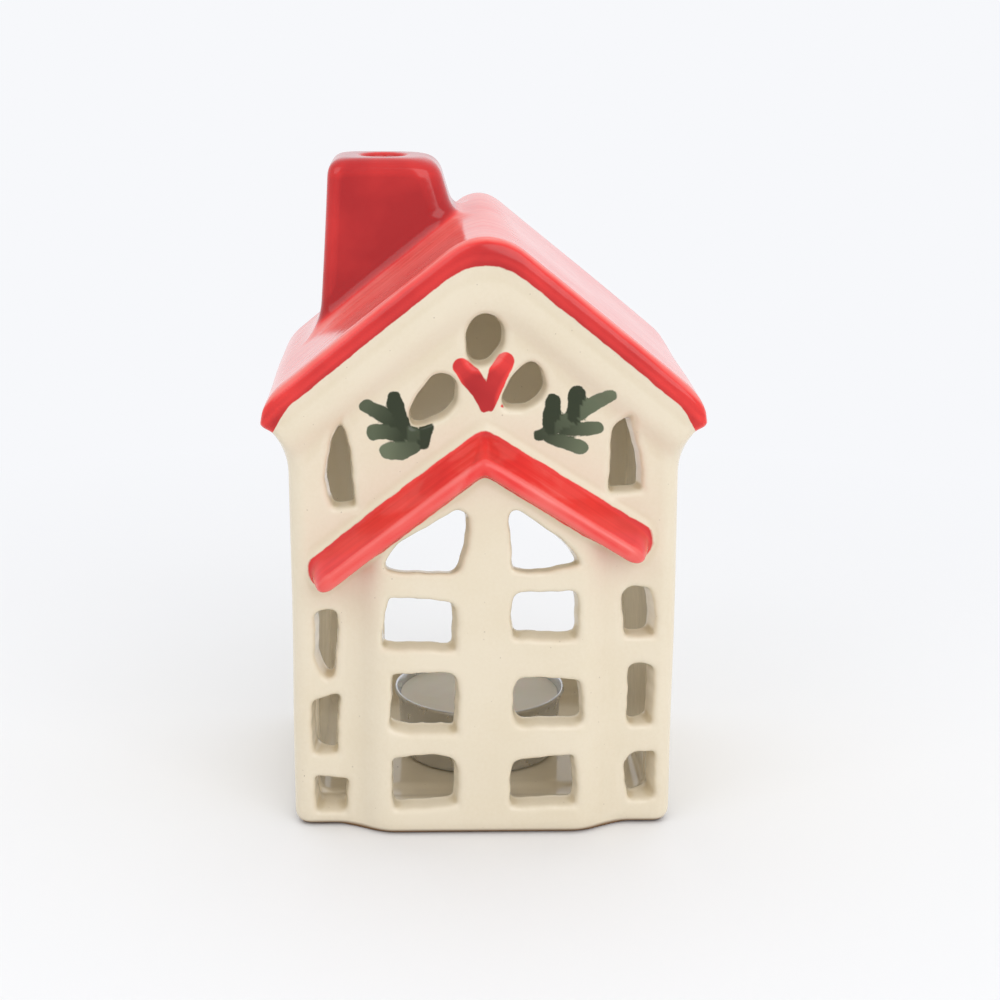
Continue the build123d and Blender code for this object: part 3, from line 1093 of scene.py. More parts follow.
@dataclass
class ClayHouse:
    """The fired house: its shape as a field, its paint, and the pieces that it is cut into, in millimetres.

    Attributes:
        sizes: Main sizes.
        glaze: The glazed clay that all its pieces share.
        edges: Roundings of its edges and coves.
        red: Its red paint.
        slack: How far the outermost faces stay inside the solids' box.
        firm_foot: Heights between which the warp of the fired clay sets in.
        bead, groove: Height, place and half width of these swells along the roof's front end.
        wall_tuck, moulding_tuck, chimney_tuck: How far these pieces end below the roof's outer face.
        seam, wall_seam, bay_seam, porch_seam, chimney_seam: Where the lute lines run.
        bay_top: Height at the middle, and fall to the sides, below which the bay is cut off the front wall.
        margin, bay_margin: How far a block reaches past its first cut.
    """

    sizes: HouseSizes
    glaze: bpy.types.Material
    edges: GlazedEdges = GlazedEdges()
    red: RedPaint = RedPaint()
    step: float = 0.5
    border: float = 1.5
    slack: float = 0.25
    firm_foot: Point2 = (4.0, 30.0)
    bead: Point3 = (0.3, 1.5, 0.8)
    groove: Point3 = (0.35, 3.6, 0.7)
    slab_sag: float = 0.9
    wall_tuck: float = 2.5
    moulding_tuck: float = 1.2
    chimney_tuck: float = 3.0
    bay_setback: float = 0.1
    arm_blend: float = 4.0
    arm_extra: float = 0.8
    ceiling_gap: float = 0.1
    seam: float = 1.1
    wall_seam: float = 3.4
    bay_seam: float = -34.2
    porch_seam: float = 8.8
    porch_clear: float = -12.0
    chimney_seam: float = -2.0
    bay_top: Point2 = (96.0, 0.68)
    bay_reach: float = -30.0
    room_height: float = 7.2
    attic_drop: float = 8.0
    margin: float = 2.0
    bay_margin: float = 1.2
    bend_reach: float = 0.8
    inside_span: Point2 = (0.5, 2.0)
    grid: Grid = field(init=False)
    values: Values = field(init=False)

    def __post_init__(self) -> None:
        """Works out the field of the whole house."""
        low = [value / MM - self.border for value in cad_box[0]]
        high = [value / MM + self.border for value in cad_box[1]]
        self.grid = Grid.spanning(low, high, self.step)
        x, y, z = self.grid.axes()
        bent = self.bent(x, y, z)
        values = soft_meet(self.outside(*bent), -self.hollow(*bent), self.edges.doorway)
        sizes = self.sizes
        outer, inner = -sizes.half_depth, -sizes.inner_half_depth
        self.pierce(values, BAY_WINDOWS, sizes.bay_front, outer)
        self.pierce(values, WING_WINDOWS, outer, inner)
        self.pierce(values, GABLE_LIGHTS, outer, inner)
        self.values = values.astype(np.float32)

    def bent(self, x: Values, y: Values, z: Values) -> tuple[Values, Values, Values]:
        """Places as they were before drying and firing bent the clay a little."""
        lift = ramp(z, *self.firm_foot)
        return (
            x + lift * (0.12 * np.sin(0.085 * z + 0.9) + 0.09 * np.sin(0.13 * y + 0.4)),
            y + lift * (0.12 * np.sin(0.1 * x + 1.1) + 0.08 * np.sin(0.12 * z)),
            z + lift * 0.13 * np.sin(0.12 * x + 0.8),
        )

    def roof_depth(self, x: Values, y: Values, z: Values) -> Values:
        """How far places lie below the roof's outer faces, with a ridge that is rounder at the front.

        Args:
            x, y, z: Places in the house.

        Returns:
            The depths, square to the slopes.
        """
        sizes = self.sizes
        front, back = sizes.ridge_reach
        reach = front + (back - front) * ramp(y, *sizes.ridge_ramp)
        return (sizes.ridge - sizes.slope * round_abs(x, reach) - z) * sizes.square

    def roof(self, x: Values, y: Values, z: Values) -> Values:
        """Distance to the roof slab, with the bead along its front end.

        Args:
            x, y, z: Places in the house.

        Returns:
            The distances, negative inside.
        """
        sizes, edges = self.sizes, self.edges
        depth = self.roof_depth(x, y, z)
        inward = sizes.roof_end + y
        bead = swell(inward, *self.bead) - swell(inward, *self.groove)
        slab = soft_meet(-depth - bead, np.abs(x) - sizes.eave + self.slack, edges.eave)
        slab = soft_meet(slab, np.abs(y) - sizes.roof_end + self.slack, edges.roof_end)
        return soft_meet(slab, depth - sizes.roof_thickness - self.slab_sag, edges.roof_underside)

    def walls(self, x: Values, y: Values, z: Values) -> Values:
        """Distance to the block of the walls with the moulding under the roof.

        Args:
            x, y, z: Places in the house.

        Returns:
            The distances, negative inside.
        """
        sizes, edges = self.sizes, self.edges
        depth = self.roof_depth(x, y, z)
        under_roof = self.wall_tuck - depth
        block = rounded_box(x, y, sizes.half_width, sizes.half_depth, sizes.corner_radius)
        block = soft_meet(block, -z, edges.foot)
        block = np.maximum(block, under_roof)
        rise, run = sizes.soffit_rise, sizes.eave - sizes.moulding_setback - sizes.half_width
        soffit = (np.abs(x) - sizes.half_width) * rise - (z - sizes.soffit_foot) * run
        moulding = soft_meet(
            depth - sizes.roof_thickness - sizes.moulding_drop,
            np.abs(y) - sizes.half_depth - sizes.moulding_depth,
            edges.moulding,
        )
        moulding = soft_meet(moulding, soffit / math.hypot(rise, run), edges.moulding_side)
        moulding = np.maximum(moulding, under_roof + self.moulding_tuck)
        return soft_union(block, moulding, edges.moulding_cove)

    def bay(self, x: Values, y: Values, z: Values) -> Values:
        """Distance to the bay, whose sides draw in towards its front.

        Args:
            x, y, z: Places in the house.

        Returns:
            The distances, negative inside.
        """
        sizes, edges = self.sizes, self.edges
        projection = -sizes.half_depth - sizes.bay_front
        slant = math.hypot(projection, sizes.bay_draft)
        side = (np.abs(x) - sizes.bay_half_width) * projection - (y + sizes.half_depth) * sizes.bay_draft
        block = soft_meet(sizes.bay_front + self.bay_setback - y, side / slant, edges.bay_corner)
        block = soft_meet(block, -z, edges.foot)
        head = z - sizes.porch_height + sizes.bay_head_drop + sizes.recess_slope * np.abs(x)
        return np.maximum(np.maximum(block, head * sizes.square), y + sizes.half_depth - sizes.wall / 2)

    def porch_levels(self, x: Values, z: Values, pitch: float) -> tuple[Values, Values]:
        """How far places lie above the porch roof's top edge, with its round and with a sharper peak.

        Args:
            x, z: Places on the front.
            pitch: Pitch of the arm in degrees.

        Returns:
            Both heights, square to the arm.
        """
        tangent, cosine = math.tan(math.radians(pitch)), math.cos(math.radians(pitch))
        height = z - self.sizes.porch_height
        top = (height + tangent * peaked_abs(x, self.edges.porch_top_peak)) * cosine
        return top, (height + tangent * peaked_abs(x, self.edges.porch_lower_peak)) * cosine

    def porch_arm(self, x: Values, y: Values, z: Values, pitch: float, reach: float) -> Values:
        """Distance to the porch roof as if both of its arms had this pitch and reach.

        Args:
            x, y, z: Places in the house.
            pitch: In degrees.
            reach: How far from the middle they end.

        Returns:
            The distances, negative inside.
        """
        sizes, edges = self.sizes, self.edges
        tangent, cosine = math.tan(math.radians(pitch)), math.cos(math.radians(pitch))
        projection = -sizes.half_depth - sizes.porch_front
        fall = sizes.porch_fall * cosine
        rise, lower = self.porch_levels(x, z, pitch)
        run = y + sizes.half_depth
        top = (projection * rise - fall * run) / math.hypot(projection, fall)
        arm = soft_meet(top, -projection + self.slack - run, edges.porch_front)
        arm = soft_meet(arm, -fall - sizes.porch_front_height * cosine - lower, edges.porch_lip)
        lean = math.radians(sizes.porch_end_lean)
        drop = z - sizes.porch_height + tangent * reach
        end = (np.abs(x) - reach) * math.cos(lean) - drop * math.sin(lean)
        arm = soft_meet(arm, end - self.arm_extra, edges.porch_end)
        return np.maximum(arm, run - sizes.wall / 2)

    def merged(self, x: Values, arms: Sequence[Values]) -> Values:
        """One field of the fields of the porch roof's left and right arm."""
        share = ramp(x, -self.arm_blend, self.arm_blend)
        return arms[0] * (1 - share) + arms[1] * share

    def porch(self, x: Values, y: Values, z: Values) -> Values:
        """Distance to the porch roof, whose two arms differ a little."""
        arms = zip(self.sizes.porch_pitch, self.sizes.porch_reach)
        return self.merged(x, [self.porch_arm(x, y, z, pitch, reach) for pitch, reach in arms])

    def porch_paint(self, x: Values, z: Values) -> Values:
        """How far places on the front lie inside the red of the porch roof.

        Args:
            x, z: Places on the front.

        Returns:
            The distances, above 0 inside the red.
        """
        sizes = self.sizes
        inside = []
        for pitch, reach in zip(sizes.porch_pitch, sizes.porch_reach):
            rise, lower = self.porch_levels(x, z, pitch)
            height = (sizes.porch_fall + sizes.porch_front_height) * math.cos(math.radians(pitch))
            band = np.minimum(-rise, height + self.red.porch_lip + lower)
            inside.append(np.minimum(band, reach + self.red.porch_end - np.abs(x)))
        return self.merged(x, inside)

    def chimney(self, x: Values, y: Values, z: Values) -> Values:
        """Distance to the chimney stack, which widens towards its foot.

        Args:
            x, y, z: Places in the house.

        Returns:
            The distances, negative inside.
        """
        sizes, edges = self.sizes, self.edges
        middle_y, half_y = sum(sizes.chimney_y) / 2, (sizes.chimney_y[1] - sizes.chimney_y[0]) / 2
        below = sizes.chimney_top - z
        left_lean, right_lean = sizes.chimney_lean
        left = (sizes.chimney_top_x[0] - left_lean * below - x) / math.hypot(1, left_lean)
        right = (x - sizes.chimney_top_x[1] - right_lean * below) / math.hypot(1, right_lean)
        stack = soft_meet(right, np.abs(y - middle_y) - half_y, edges.chimney_corner)
        stack = soft_meet(stack, left, edges.chimney_left)
        stack = soft_meet(stack, self.slack - below, edges.chimney_top)
        return np.maximum(stack, self.roof_depth(x, y, z) - self.chimney_tuck)

    def outside(self, x: Values, y: Values, z: Values) -> Values:
        """Distance to the house as if it were solid.

        Args:
            x, y, z: Places in the house.

        Returns:
            The distances, negative inside.
        """
        edges = self.edges
        body = soft_union(self.walls(x, y, z), self.roof(x, y, z), edges.roof_cove)
        body = soft_union(body, self.bay(x, y, z), edges.bay_cove)
        body = soft_union(body, self.porch(x, y, z), edges.porch_cove)
        return np.maximum(soft_union(body, self.chimney(x, y, z), edges.chimney_cove), -z)

    def flue(self, x: Values, y: Values, z: Values) -> Values:
        """Distance to the way of the warm air through the chimney.

        Args:
            x, y, z: Places in the house.

        Returns:
            The distances, negative inside.
        """
        sizes, edges = self.sizes, self.edges
        off_x = x - sum(sizes.chimney_top_x) / 2
        off_y = y - sum(sizes.chimney_y) / 2
        shaft = rounded_box(off_x, off_y, sizes.flue_half, sizes.flue_half, edges.flue)
        shaft = soft_meet(shaft, z - sizes.chimney_top + sizes.flue_cap, edges.flue)
        shaft = np.maximum(shaft, self.roof_depth(x, y, z) - sizes.flue_depth)
        vent = np.hypot(off_x, off_y) - sizes.vent_radius
        return np.minimum(shaft, np.maximum(vent, sizes.chimney_top - sizes.vent_depth - z))

    def hollow(self, x: Values, y: Values, z: Values) -> Values:
        """Distance to the air inside: room, recess of the bay, flue, doorway and hollow foot.

        Args:
            x, y, z: Places in the house.

        Returns:
            The distances, negative inside.
        """
        sizes, edges = self.sizes, self.edges
        above_floor = sizes.floor - z
        under_roof = sizes.roof_thickness + self.ceiling_gap - self.roof_depth(x, y, z)
        room = rounded_box(x, y, sizes.inner_half_width, sizes.inner_half_depth, sizes.room_corner)
        room = soft_meet(room, above_floor, edges.room)
        room = soft_meet(room, under_roof, edges.room)
        recess = soft_meet(np.abs(x) - sizes.recess_half_width, -sizes.half_depth - y, edges.recess)
        recess = np.maximum(recess, y + sizes.inner_half_depth - sizes.wall)
        underside = sizes.porch_height - sizes.porch_fall - sizes.porch_front_height
        head = z - underside + sizes.recess_lintel + sizes.recess_slope * np.abs(x)
        recess = soft_meet(recess, head * sizes.square, edges.recess)
        recess = soft_meet(recess, above_floor, edges.recess)
        air = soft_union(room, recess, edges.recess)
        air = soft_union(air, self.flue(x, y, z), edges.flue_mouth)
        middle_z, half_z = sum(sizes.doorway_z) / 2, (sizes.doorway_z[1] - sizes.doorway_z[0]) / 2
        radius = np.where(z > middle_z, sizes.doorway_head_radius, sizes.doorway_foot_radius)
        doorway = rounded_box(x, z - middle_z, sizes.doorway_half_width, half_z, radius)
        air = np.minimum(air, np.maximum(doorway, sizes.inner_half_depth - sizes.wall - y))
        rim = sizes.foot_rim
        foot = rounded_box(x, y, sizes.half_width - rim, sizes.half_depth - rim, sizes.room_corner)
        return np.minimum(air, soft_meet(foot, z - sizes.foot_hollow, edges.hollow_foot))

    def pierce(self, values: Values, cuts: Sequence[KnifeCut], outer: float, inner: float) -> None:
        """Cuts holes through a wall of the front.

        Args:
            values: The field, which is changed.
            cuts: The holes.
            outer, inner: Where the wall's faces lie along Y.
        """
        reach = 3.0
        for number, cut in enumerate(cuts):
            across, upright = zip(*cut.corners)
            block = self.grid.slices(
                (min(across) - reach, outer - reach, min(upright) - reach),
                (max(across) + reach, inner + reach, max(upright) + reach),
            )
            x, y, z = self.grid.part(block).axes()
            depth = np.clip((y - outer) / (inner - outer), -0.2, 1.1)
            hole = np.maximum(cut.distance(x, z, depth, number), y - inner - reach)
            values[block] = soft_meet(values[block], -hole, self.edges.knife)

    def roof_cut(self, side: int, depth: float, keep_below: bool) -> Cut:
        """A cut parallel to one slope of the roof, as far below its outer face as depth."""
        sizes = self.sizes
        return slope_cut(side, sizes.roof_pitch, sizes.ridge - depth / sizes.square, keep_below)

    def porch_cut(self, side: int, depth: float, keep_below: bool) -> Cut:
        """A cut parallel to one arm of the porch roof, as far below its top edge as depth."""
        left, right = self.sizes.porch_pitch
        return slope_cut(side, left if side < 0 else right, self.sizes.porch_height - depth, keep_below)

    def sections(self) -> list[Section]:
        """The pieces of the house that are plain cuts of its shape.

        Returns:
            All of them but the porch roof.
        """
        sizes, margin = self.sizes, self.margin
        low, high = self.grid.low, self.grid.high
        wall_x = sizes.inner_half_width - self.wall_seam
        wall_y = sizes.inner_half_depth - self.wall_seam
        seam = sizes.roof_thickness + self.seam
        under_roof = (self.roof_cut(-1, seam, True), self.roof_cut(1, seam, True))
        between = (square_cut(Y, -wall_y, -1), square_cut(Y, wall_y, 1))
        attic = (low[X], low[Y], sizes.porch_height - self.attic_drop)
        room_top = sizes.floor + self.room_height
        sections = [
            Section(
                "front_wall",
                Slot.CREAM,
                low,
                (high[X], margin - wall_y, high[Z]),
                (square_cut(Y, -wall_y, 1), *under_roof),
            ),
            Section(
                "back_wall",
                Slot.CREAM,
                (low[X], wall_y - margin, low[Z]),
                high,
                (square_cut(Y, wall_y, -1), *under_roof),
            ),
            Section(
                "floor_slab",
                Slot.CREAM,
                low,
                (high[X], high[Y], room_top + margin),
                (square_cut(Z, room_top, 1), square_cut(X, -wall_x, -1), square_cut(X, wall_x, 1), *between),
            ),
            Section(
                "bay_front",
                Slot.CREAM,
                low,
                (high[X], self.bay_seam + self.bay_margin, high[Z]),
                (
                    square_cut(Y, self.bay_seam, 1),
                    self.porch_cut(-1, self.porch_seam, True),
                    self.porch_cut(1, self.porch_seam, True),
                ),
            ),
            Section("chimney", Slot.RED, attic, high, (self.roof_cut(-1, self.chimney_seam, False),)),
        ]
        for side, name in ((-1, "left"), (1, "right")):
            inner_side = square_cut(X, side * wall_x, -side)
            block_x = (low[X], margin - wall_x) if side < 0 else (wall_x - margin, high[X])
            sections += [
                Section(
                    f"{name}_wall",
                    Slot.CREAM,
                    (block_x[0], low[Y], low[Z]),
                    (block_x[1], high[Y], high[Z]),
                    (inner_side, *between, self.roof_cut(side, seam, True)),
                ),
                Section(
                    f"roof_{name}_slope",
                    Slot.RED,
                    attic,
                    high,
                    (
                        self.roof_cut(side, seam, False),
                        self.roof_cut(side, self.chimney_seam, True),
                        square_cut(X, 0, -side),
                    ),
                ),
            ]
        return sections

    def skinned(self, low: Sequence[float], high: Sequence[float], cuts: Sequence[Cut]) -> bmesh.types.BMesh:
        """Skins a block of the house and cuts it to shape, in millimetres.

        Args:
            low, high: Corners of the block.
            cuts: The cuts, in order.

        Returns:
            The closed mesh, in millimetres.
        """
        block = self.grid.slices(low, high)
        points, quads = skin(self.values[block], self.grid.part(block))
        # Two small moves along the field's slope bring the points onto its zero surface
        for _ in range(2):
            rise = slopes(self.values, self.grid, points)
            gap = sample(self.values, self.grid, points) / np.maximum((rise**2).sum(1), 0.2)
            points = points - rise * np.clip(gap, -0.3, 0.3)[:, None]
        data = bpy.data.meshes.new("skin")
        data.from_pydata(points, [], quads)
        data.polygons.foreach_set("use_smooth", np.ones(len(quads), bool))
        mesh = bmesh.new()
        mesh.from_mesh(data)
        bpy.data.meshes.remove(data)
        for cut in cuts:
            cut_away(mesh, cut)
        return mesh

    def porch_mesh(self) -> bmesh.types.BMesh:
        """The porch roof, cut out arm by arm because a cut can't bend, and joined at its peak.

        Returns:
            The closed mesh, in millimetres.
        """
        low, high = self.grid.low, self.grid.high
        whole = bpy.data.meshes.new("porch_roof")
        joined = bmesh.new()
        for side in (-1, 1):
            cuts = (
                square_cut(Y, self.bay_seam, 1),
                square_cut(X, 0, -side),
                self.porch_cut(side, self.porch_seam, False),
                self.porch_cut(side, self.porch_clear, True),
            )
            arm = self.skinned(low, (high[X], self.bay_seam + self.bay_margin, high[Z]), cuts)
            at_peak = [face for face in arm.faces if all(abs(vert.co.x) < 1e-4 for vert in face.verts)]
            bmesh.ops.delete(arm, geom=at_peak, context="FACES")
            arm.to_mesh(whole)
            arm.free()
            joined.from_mesh(whole)
        bpy.data.meshes.remove(whole)
        bmesh.ops.remove_doubles(joined, verts=joined.verts[:], dist=0.002)
        return joined

    def brushed(self, points: Values, stroke: BrushStroke) -> tuple[Values, Values]:
        """How far places lie inside a brush mark on the front, and how far along it, from 0 to 1.

        Args:
            points: Places on the skin.
            stroke: The brush mark.

        Returns:
            Both, place by place.
        """
        x, y, z = points.T
        distance, along = stroke_distance(x, z, stroke.points, stroke.widths)
        on_front = self.red.front_reach - self.sizes.half_depth - y
        return np.minimum(on_front, -distance), along

    def red_coat(self, points: Values) -> tuple[Values, Values]:
        """How far places lie inside the red, and how thick it is, thinner also for a painted highlight on the
        bead and painted sheen on the slopes.

        Args:
            points: Places on the skin.

        Returns:
            Millimetres inside the red, and the coat from 0 to 1.
        """
        sizes, red = self.sizes, self.red
        x, y, z = points.T
        bent = self.bent(x, y, z)
        depth = self.roof_depth(*bent)
        inside = red.line + red.eave_drop * ramp(np.abs(x), *red.eave_span) - depth
        vent = red.flue_edge + red.vent_cover * ramp(z, *red.vent_span)
        inside = np.minimum(inside, self.flue(*bent) + vent)
        # The roof's ends are painted over twice, its bead is rubbed thin and lightened partly as a painted
        # highlight, and its slopes have one wash, kept light partly as painted sheen
        inward = sizes.roof_end - np.abs(y)
        rub_highlight, bead_place, bead_width = red.bead_rub_highlight
        rubbed_highlight = 1 - ramp(depth, *red.rub_highlight_span)
        coat = red.end_coat - red.wash_and_sheen_loss * ramp(inward, *red.wash_and_sheen_span)
        coat = coat + swell(inward, *red.groove_coat)
        coat = coat - swell(inward, rub_highlight * rubbed_highlight, bead_place, bead_width)
        coat = coat + (red.chimney_coat - coat) * ramp(-self.chimney(*bent), *red.chimney_span)
        porch = np.minimum(self.porch_paint(bent[X], bent[Z]), -sizes.half_depth - red.wall_clear - y)
        overlap = ramp(x + red.overlap_lean * (sizes.porch_height - z), *red.overlap_span)
        overlap = overlap * (1 - ramp(x, *red.overlap_fade))
        ends = ramp(np.abs(x) - np.where(x < 0, *sizes.porch_reach), *red.ends_span)
        porch_coat = red.porch_coat + red.overlap_coat * overlap + red.ends_coat * ends
        coat = np.where(porch > inside, porch_coat, coat)
        inside = np.maximum(inside, porch)
        for stroke in HEART:
            mark, along = self.brushed(points, stroke)
            heart_coat = red.heart_coat + red.heart_gain * ramp(along, *red.heart_span)
            coat = np.where(mark > inside, heart_coat, coat)
            inside = np.maximum(inside, mark)
        return inside, coat

    def green_tone(self, points: Values) -> tuple[Values, Values]:
        """How far places lie inside the green, and how worn it is there, with a painted sheen.

        Args:
            points: Places on the skin.

        Returns:
            Millimetres inside the green, and the wear, also a painted sheen, from 0 to 1.
        """
        inside = np.full(len(points), -5.0)
        tone = np.zeros(len(points))
        for stroke in SPRIGS:
            mark, along = self.brushed(points, stroke)
            worn_and_sheen = stroke.worn_and_sheen[0] + (stroke.worn_and_sheen[1] - stroke.worn_and_sheen[0]) * along
            tone = np.where(mark > inside, worn_and_sheen, tone)
            inside = np.maximum(inside, mark)
        return inside, tone

    def bend(self, points: Values) -> Values:
        """How strongly the surface curves, below 0 in hollows.

        Args:
            points: Places on the skin.

        Returns:
            The curvature, per millimetre.
        """
        around = -6 * sample(self.values, self.grid, points)
        for offset in self.bend_reach * np.eye(3):
            ahead, behind = (sample(self.values, self.grid, points + way * offset) for way in (1, -1))
            around += ahead + behind
        return around / self.bend_reach**2

    def paint(self, points: Values) -> dict[str, Values]:
        """How far places lie inside the painted areas, and what the glaze does there.

        Args:
            points: Places on the skin.

        Returns:
            By name: red and green, in millimetres inside the paint; coat, how thick the red is, thinned also
                as a painted
            highlight and sheen; tone, how worn the green is, with a painted sheen; bend, how the surface
            curves; and inside,
            1 in the room, which is painted paler as painted light, and 0 outside.
        """
        red, coat = self.red_coat(points)
        green, tone = self.green_tone(points)
        # Painted light: 1 in the room, whose clay is painted paler to stand in for light that doesn't get in
        inside = 1 - ramp(self.hollow(*self.bent(*points.T)), *self.inside_span)
        bend = self.bend(points)
        return {"red": red, "coat": coat, "green": green, "tone": tone, "bend": bend, "inside": inside}

    def dress(self, name: str, mesh: bmesh.types.BMesh) -> bpy.types.Object:
        """Makes an object of a cut piece, with the field's own normals and with its paint.

        Args:
            name: Its name.
            mesh: The piece in millimetres, which is freed.

        Returns:
            The object, in metres.
        """
        data = bpy.data.meshes.new(name)
        mesh.to_mesh(data)
        mesh.free()
        places = read(data.vertices, "co", np.float32, 3)
        points = places.reshape(-1, 3).astype(float)
        data.vertices.foreach_set("co", places * np.float32(MM))
        data.update()
        normals = slopes(self.values, self.grid, points)
        normals /= np.maximum(np.linalg.norm(normals, axis=1), 1e-6)[:, None]
        corners = read(data.loops, "vertex_index", np.int32)
        counts = read(data.polygons, "loop_total", np.int32)
        smooth = read(data.polygons, "use_smooth", bool)
        flat = read(data.polygons, "normal", np.float32, 3).reshape(-1, 3)
        on_skin = np.repeat(smooth, counts)[:, None]
        facing = np.where(on_skin, normals[corners], np.repeat(flat, counts, axis=0))
        data.normals_split_custom_set(facing.tolist())
        for attribute, values in self.paint(points).items():
            stored = data.attributes.new(attribute, "FLOAT", "POINT")
            stored.data.foreach_set("value", values.astype(np.float32))
        data.materials.append(self.glaze)
        return new_object(name, data)

    def under_porch(self, place: Vector) -> bool:
        """Whether a place on the front wall lies where the bay and the porch roof stand."""
        top, fall = self.bay_top
        return place.y < self.bay_reach and place.z < top - fall * abs(place.x)

    def build(self) -> None:
        """Builds all pieces of the house."""
        for section in self.sections():
            mesh = self.skinned(section.low, section.high, section.cuts)
            if section.node == "front_wall":
                cut_away(mesh, square_cut(Y, self.bay_seam, -1), self.under_porch)
            hand_over(self.dress(f"glazed_{section.node}", mesh), Body.HOUSE, [section.node])
        porch = self.dress("glazed_porch_roof", self.porch_mesh())
        hand_over(porch, Body.HOUSE, ["porch_roof"])


# The tealight


@dataclass
class Tealight:
    """The tealight: a pressed cup, poured wax, and a braided wick in its tin foot, in millimetres.

    Attributes:
        centre: Its middle, along X and Y.
        base: How high it stands.
        radius: Radius over the rim.
        height: Height of the rim.
        wick_clear, wick_inset: Gap under the wick, and how far its strands stop short of its ends.
        strand_share: How many strand radii make up the wick's radius.
        layer_radii, core_radius: Radii of the two layers and of the core, in strand radii.
    """

    centre: Point2
    base: float
    radius: float
    height: float
    sheet: float = 0.4
    rim: float = 0.9
    taper: float = 0.7
    wax_below_rim: float = 1.6
    wax_dish: float = 0.7
    foot_radius: float = 7.0
    neck_radius: float = 1.7
    neck_height: float = 3.2
    wick_radius: float = 0.9
    wick_length: float = 19.0
    gap: float = 0.1
    wick_clear: float = 0.05
    wick_inset: float = 0.2
    strands: int = 4
    turns: float = 6.0
    strand_share: float = 2.75
    layer_radii: Point2 = (1.5, 1.68)
    core_radius: float = 1.7
    segments: int = 128

    @classmethod
    def from_frame(cls) -> "Tealight":
        """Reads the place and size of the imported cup.

        Returns:
            The tealight.
        """
        low, high = node_box("tealight_cup")
        middle = (low + high) / 2
        return cls((middle[0], middle[1]), low[2], (high[0] - low[0]) / 2, high[2] - low[2])

    def turned(self, name: str, outline: Sequence[Point2], material: bpy.types.Material) -> bpy.types.Object:
        """Turns an outline round the tealight's axis.

        Args:
            name: Name of the object.
            outline: Radii and heights above the base, along the closed outline or from pole to pole.
            material: Its finish.

        Returns:
            The object, in place.
        """
        mesh = bmesh.new()
        rings = []
        for radius, height in outline:
            count = self.segments if radius > 0 else 1
            ring = []
            for number in range(count):
                angle = 2 * math.pi * number / count
                x = self.centre[0] + radius * math.cos(angle)
                y = self.centre[1] + radius * math.sin(angle)
                ring.append(mesh.verts.new((x * MM, y * MM, (self.base + height) * MM)))
            rings.append(ring)
        pairs = list(zip(rings, rings[1:]))
        if outline[0][0] > 0:
            pairs.append((rings[-1], rings[0]))
        for first, second in pairs:
            for number in range(self.segments):
                after = (number + 1) % self.segments
                corners = [first[number % len(first)], first[after % len(first)]]
                corners += [second[after % len(second)], second[number % len(second)]]
                mesh.faces.new(list(dict.fromkeys(corners)))
        bmesh.ops.recalc_face_normals(mesh, faces=mesh.faces[:])
        data = bpy.data.meshes.new(name)
        mesh.to_mesh(data)
        mesh.free()
        data.polygons.foreach_set("use_smooth", np.ones(len(data.polygons), bool))
        data.set_sharp_from_angle(angle=math.radians(50))
        data.materials.append(material)
        return new_object(name, data)

    def cup_inside(self, height: float) -> float:
        """Inner radius of the cup at a height above its base."""
        return self.radius - self.rim - self.taper - self.sheet + self.taper * height / self.height

    def cup(self) -> bpy.types.Object:
        """The pressed cup, with a raised base, a round heel and a rolled rim.

        Returns:
            The object, in place.
        """
        sheet, height = self.sheet, self.height
        heel = self.cup_inside(0) + sheet
        neck = self.radius - self.rim
        roll = self.rim / 2
        outline = [(0, 0.3), (heel - 3.2, 0.3), (heel - 2.4, 0.02), (heel - 1.2, 0), (heel - 0.5, 0.2)]
        outline += [(heel - 0.1, 0.7), (heel + 0.05, 1.5), (neck, height - 2.2 * roll)]
        for degrees in range(-125, 150, 40):
            angle = math.radians(degrees)
            across, up = roll * math.cos(angle), roll * math.sin(angle)
            outline.append((self.radius - roll + across, height - roll + up))
        outline += [(self.cup_inside(height - 1.4), height - 1.4), (self.cup_inside(1.7), 1.7)]
        outline += [(self.cup_inside(1.0) - 0.15, 1.0), (self.cup_inside(0.5) - 0.7, 0.45), (0, sheet)]
        return self.turned("drawn_cup", outline, DRAWN_ALUMINIUM.build())

    def wax(self) -> bpy.types.Object:
        """The poured wax, which climbs the cup and the wick a little and sinks between them.

        Returns:
            The object, in place.
        """
        top = self.height - self.wax_below_rim
        wall = self.cup_inside(top) - self.gap
        bore = self.wick_radius + self.gap
        neck = self.neck_radius + self.gap
        foot = self.foot_radius + self.gap
        floor = self.sheet + self.gap
        disc = floor + self.sheet + self.gap
        dip = top - self.wax_dish
        outline = [(bore, dip + 0.35), (bore + 0.5, dip + 0.1), (bore + 2.0, dip), (0.55 * wall, dip + 0.12)]
        outline += [(0.8 * wall, dip + 0.32), (wall - 1.2, top - 0.22), (wall - 0.4, top - 0.1), (wall, top)]
        outline += [(self.cup_inside(2.0) - self.gap, 2.0), (self.cup_inside(1.0) - 0.7, 1.0)]
        outline += [(self.cup_inside(0.6) - 1.6, floor), (foot, floor), (foot, disc), (neck, disc)]
        outline += [(neck, floor + self.neck_height + self.gap), (bore, floor + self.neck_height + self.gap)]
        return self.turned("poured_wax", outline, PARAFFIN.build())

    def foot(self) -> bpy.types.Object:
        """The stamped tin foot with the neck that grips the wick.

        Returns:
            The object, in place.
        """
        floor = self.sheet + self.gap
        top = floor + self.sheet
        neck_top = floor + self.neck_height
        outline = [(0, floor), (self.foot_radius - 0.2, floor), (self.foot_radius, floor + 0.15)]
        outline += [(self.foot_radius - 0.1, top), (self.neck_radius + 0.6, top)]
        outline += [(self.neck_radius, top + 0.4)]
        outline += [(self.neck_radius - 0.1, neck_top - 0.3), (self.neck_radius - 0.35, neck_top)]
        outline += [(self.wick_radius + 0.05, neck_top - 0.1), (self.wick_radius + 0.05, top), (0, top)]
        return self.turned("stamped_foot", outline, TINPLATE.build())

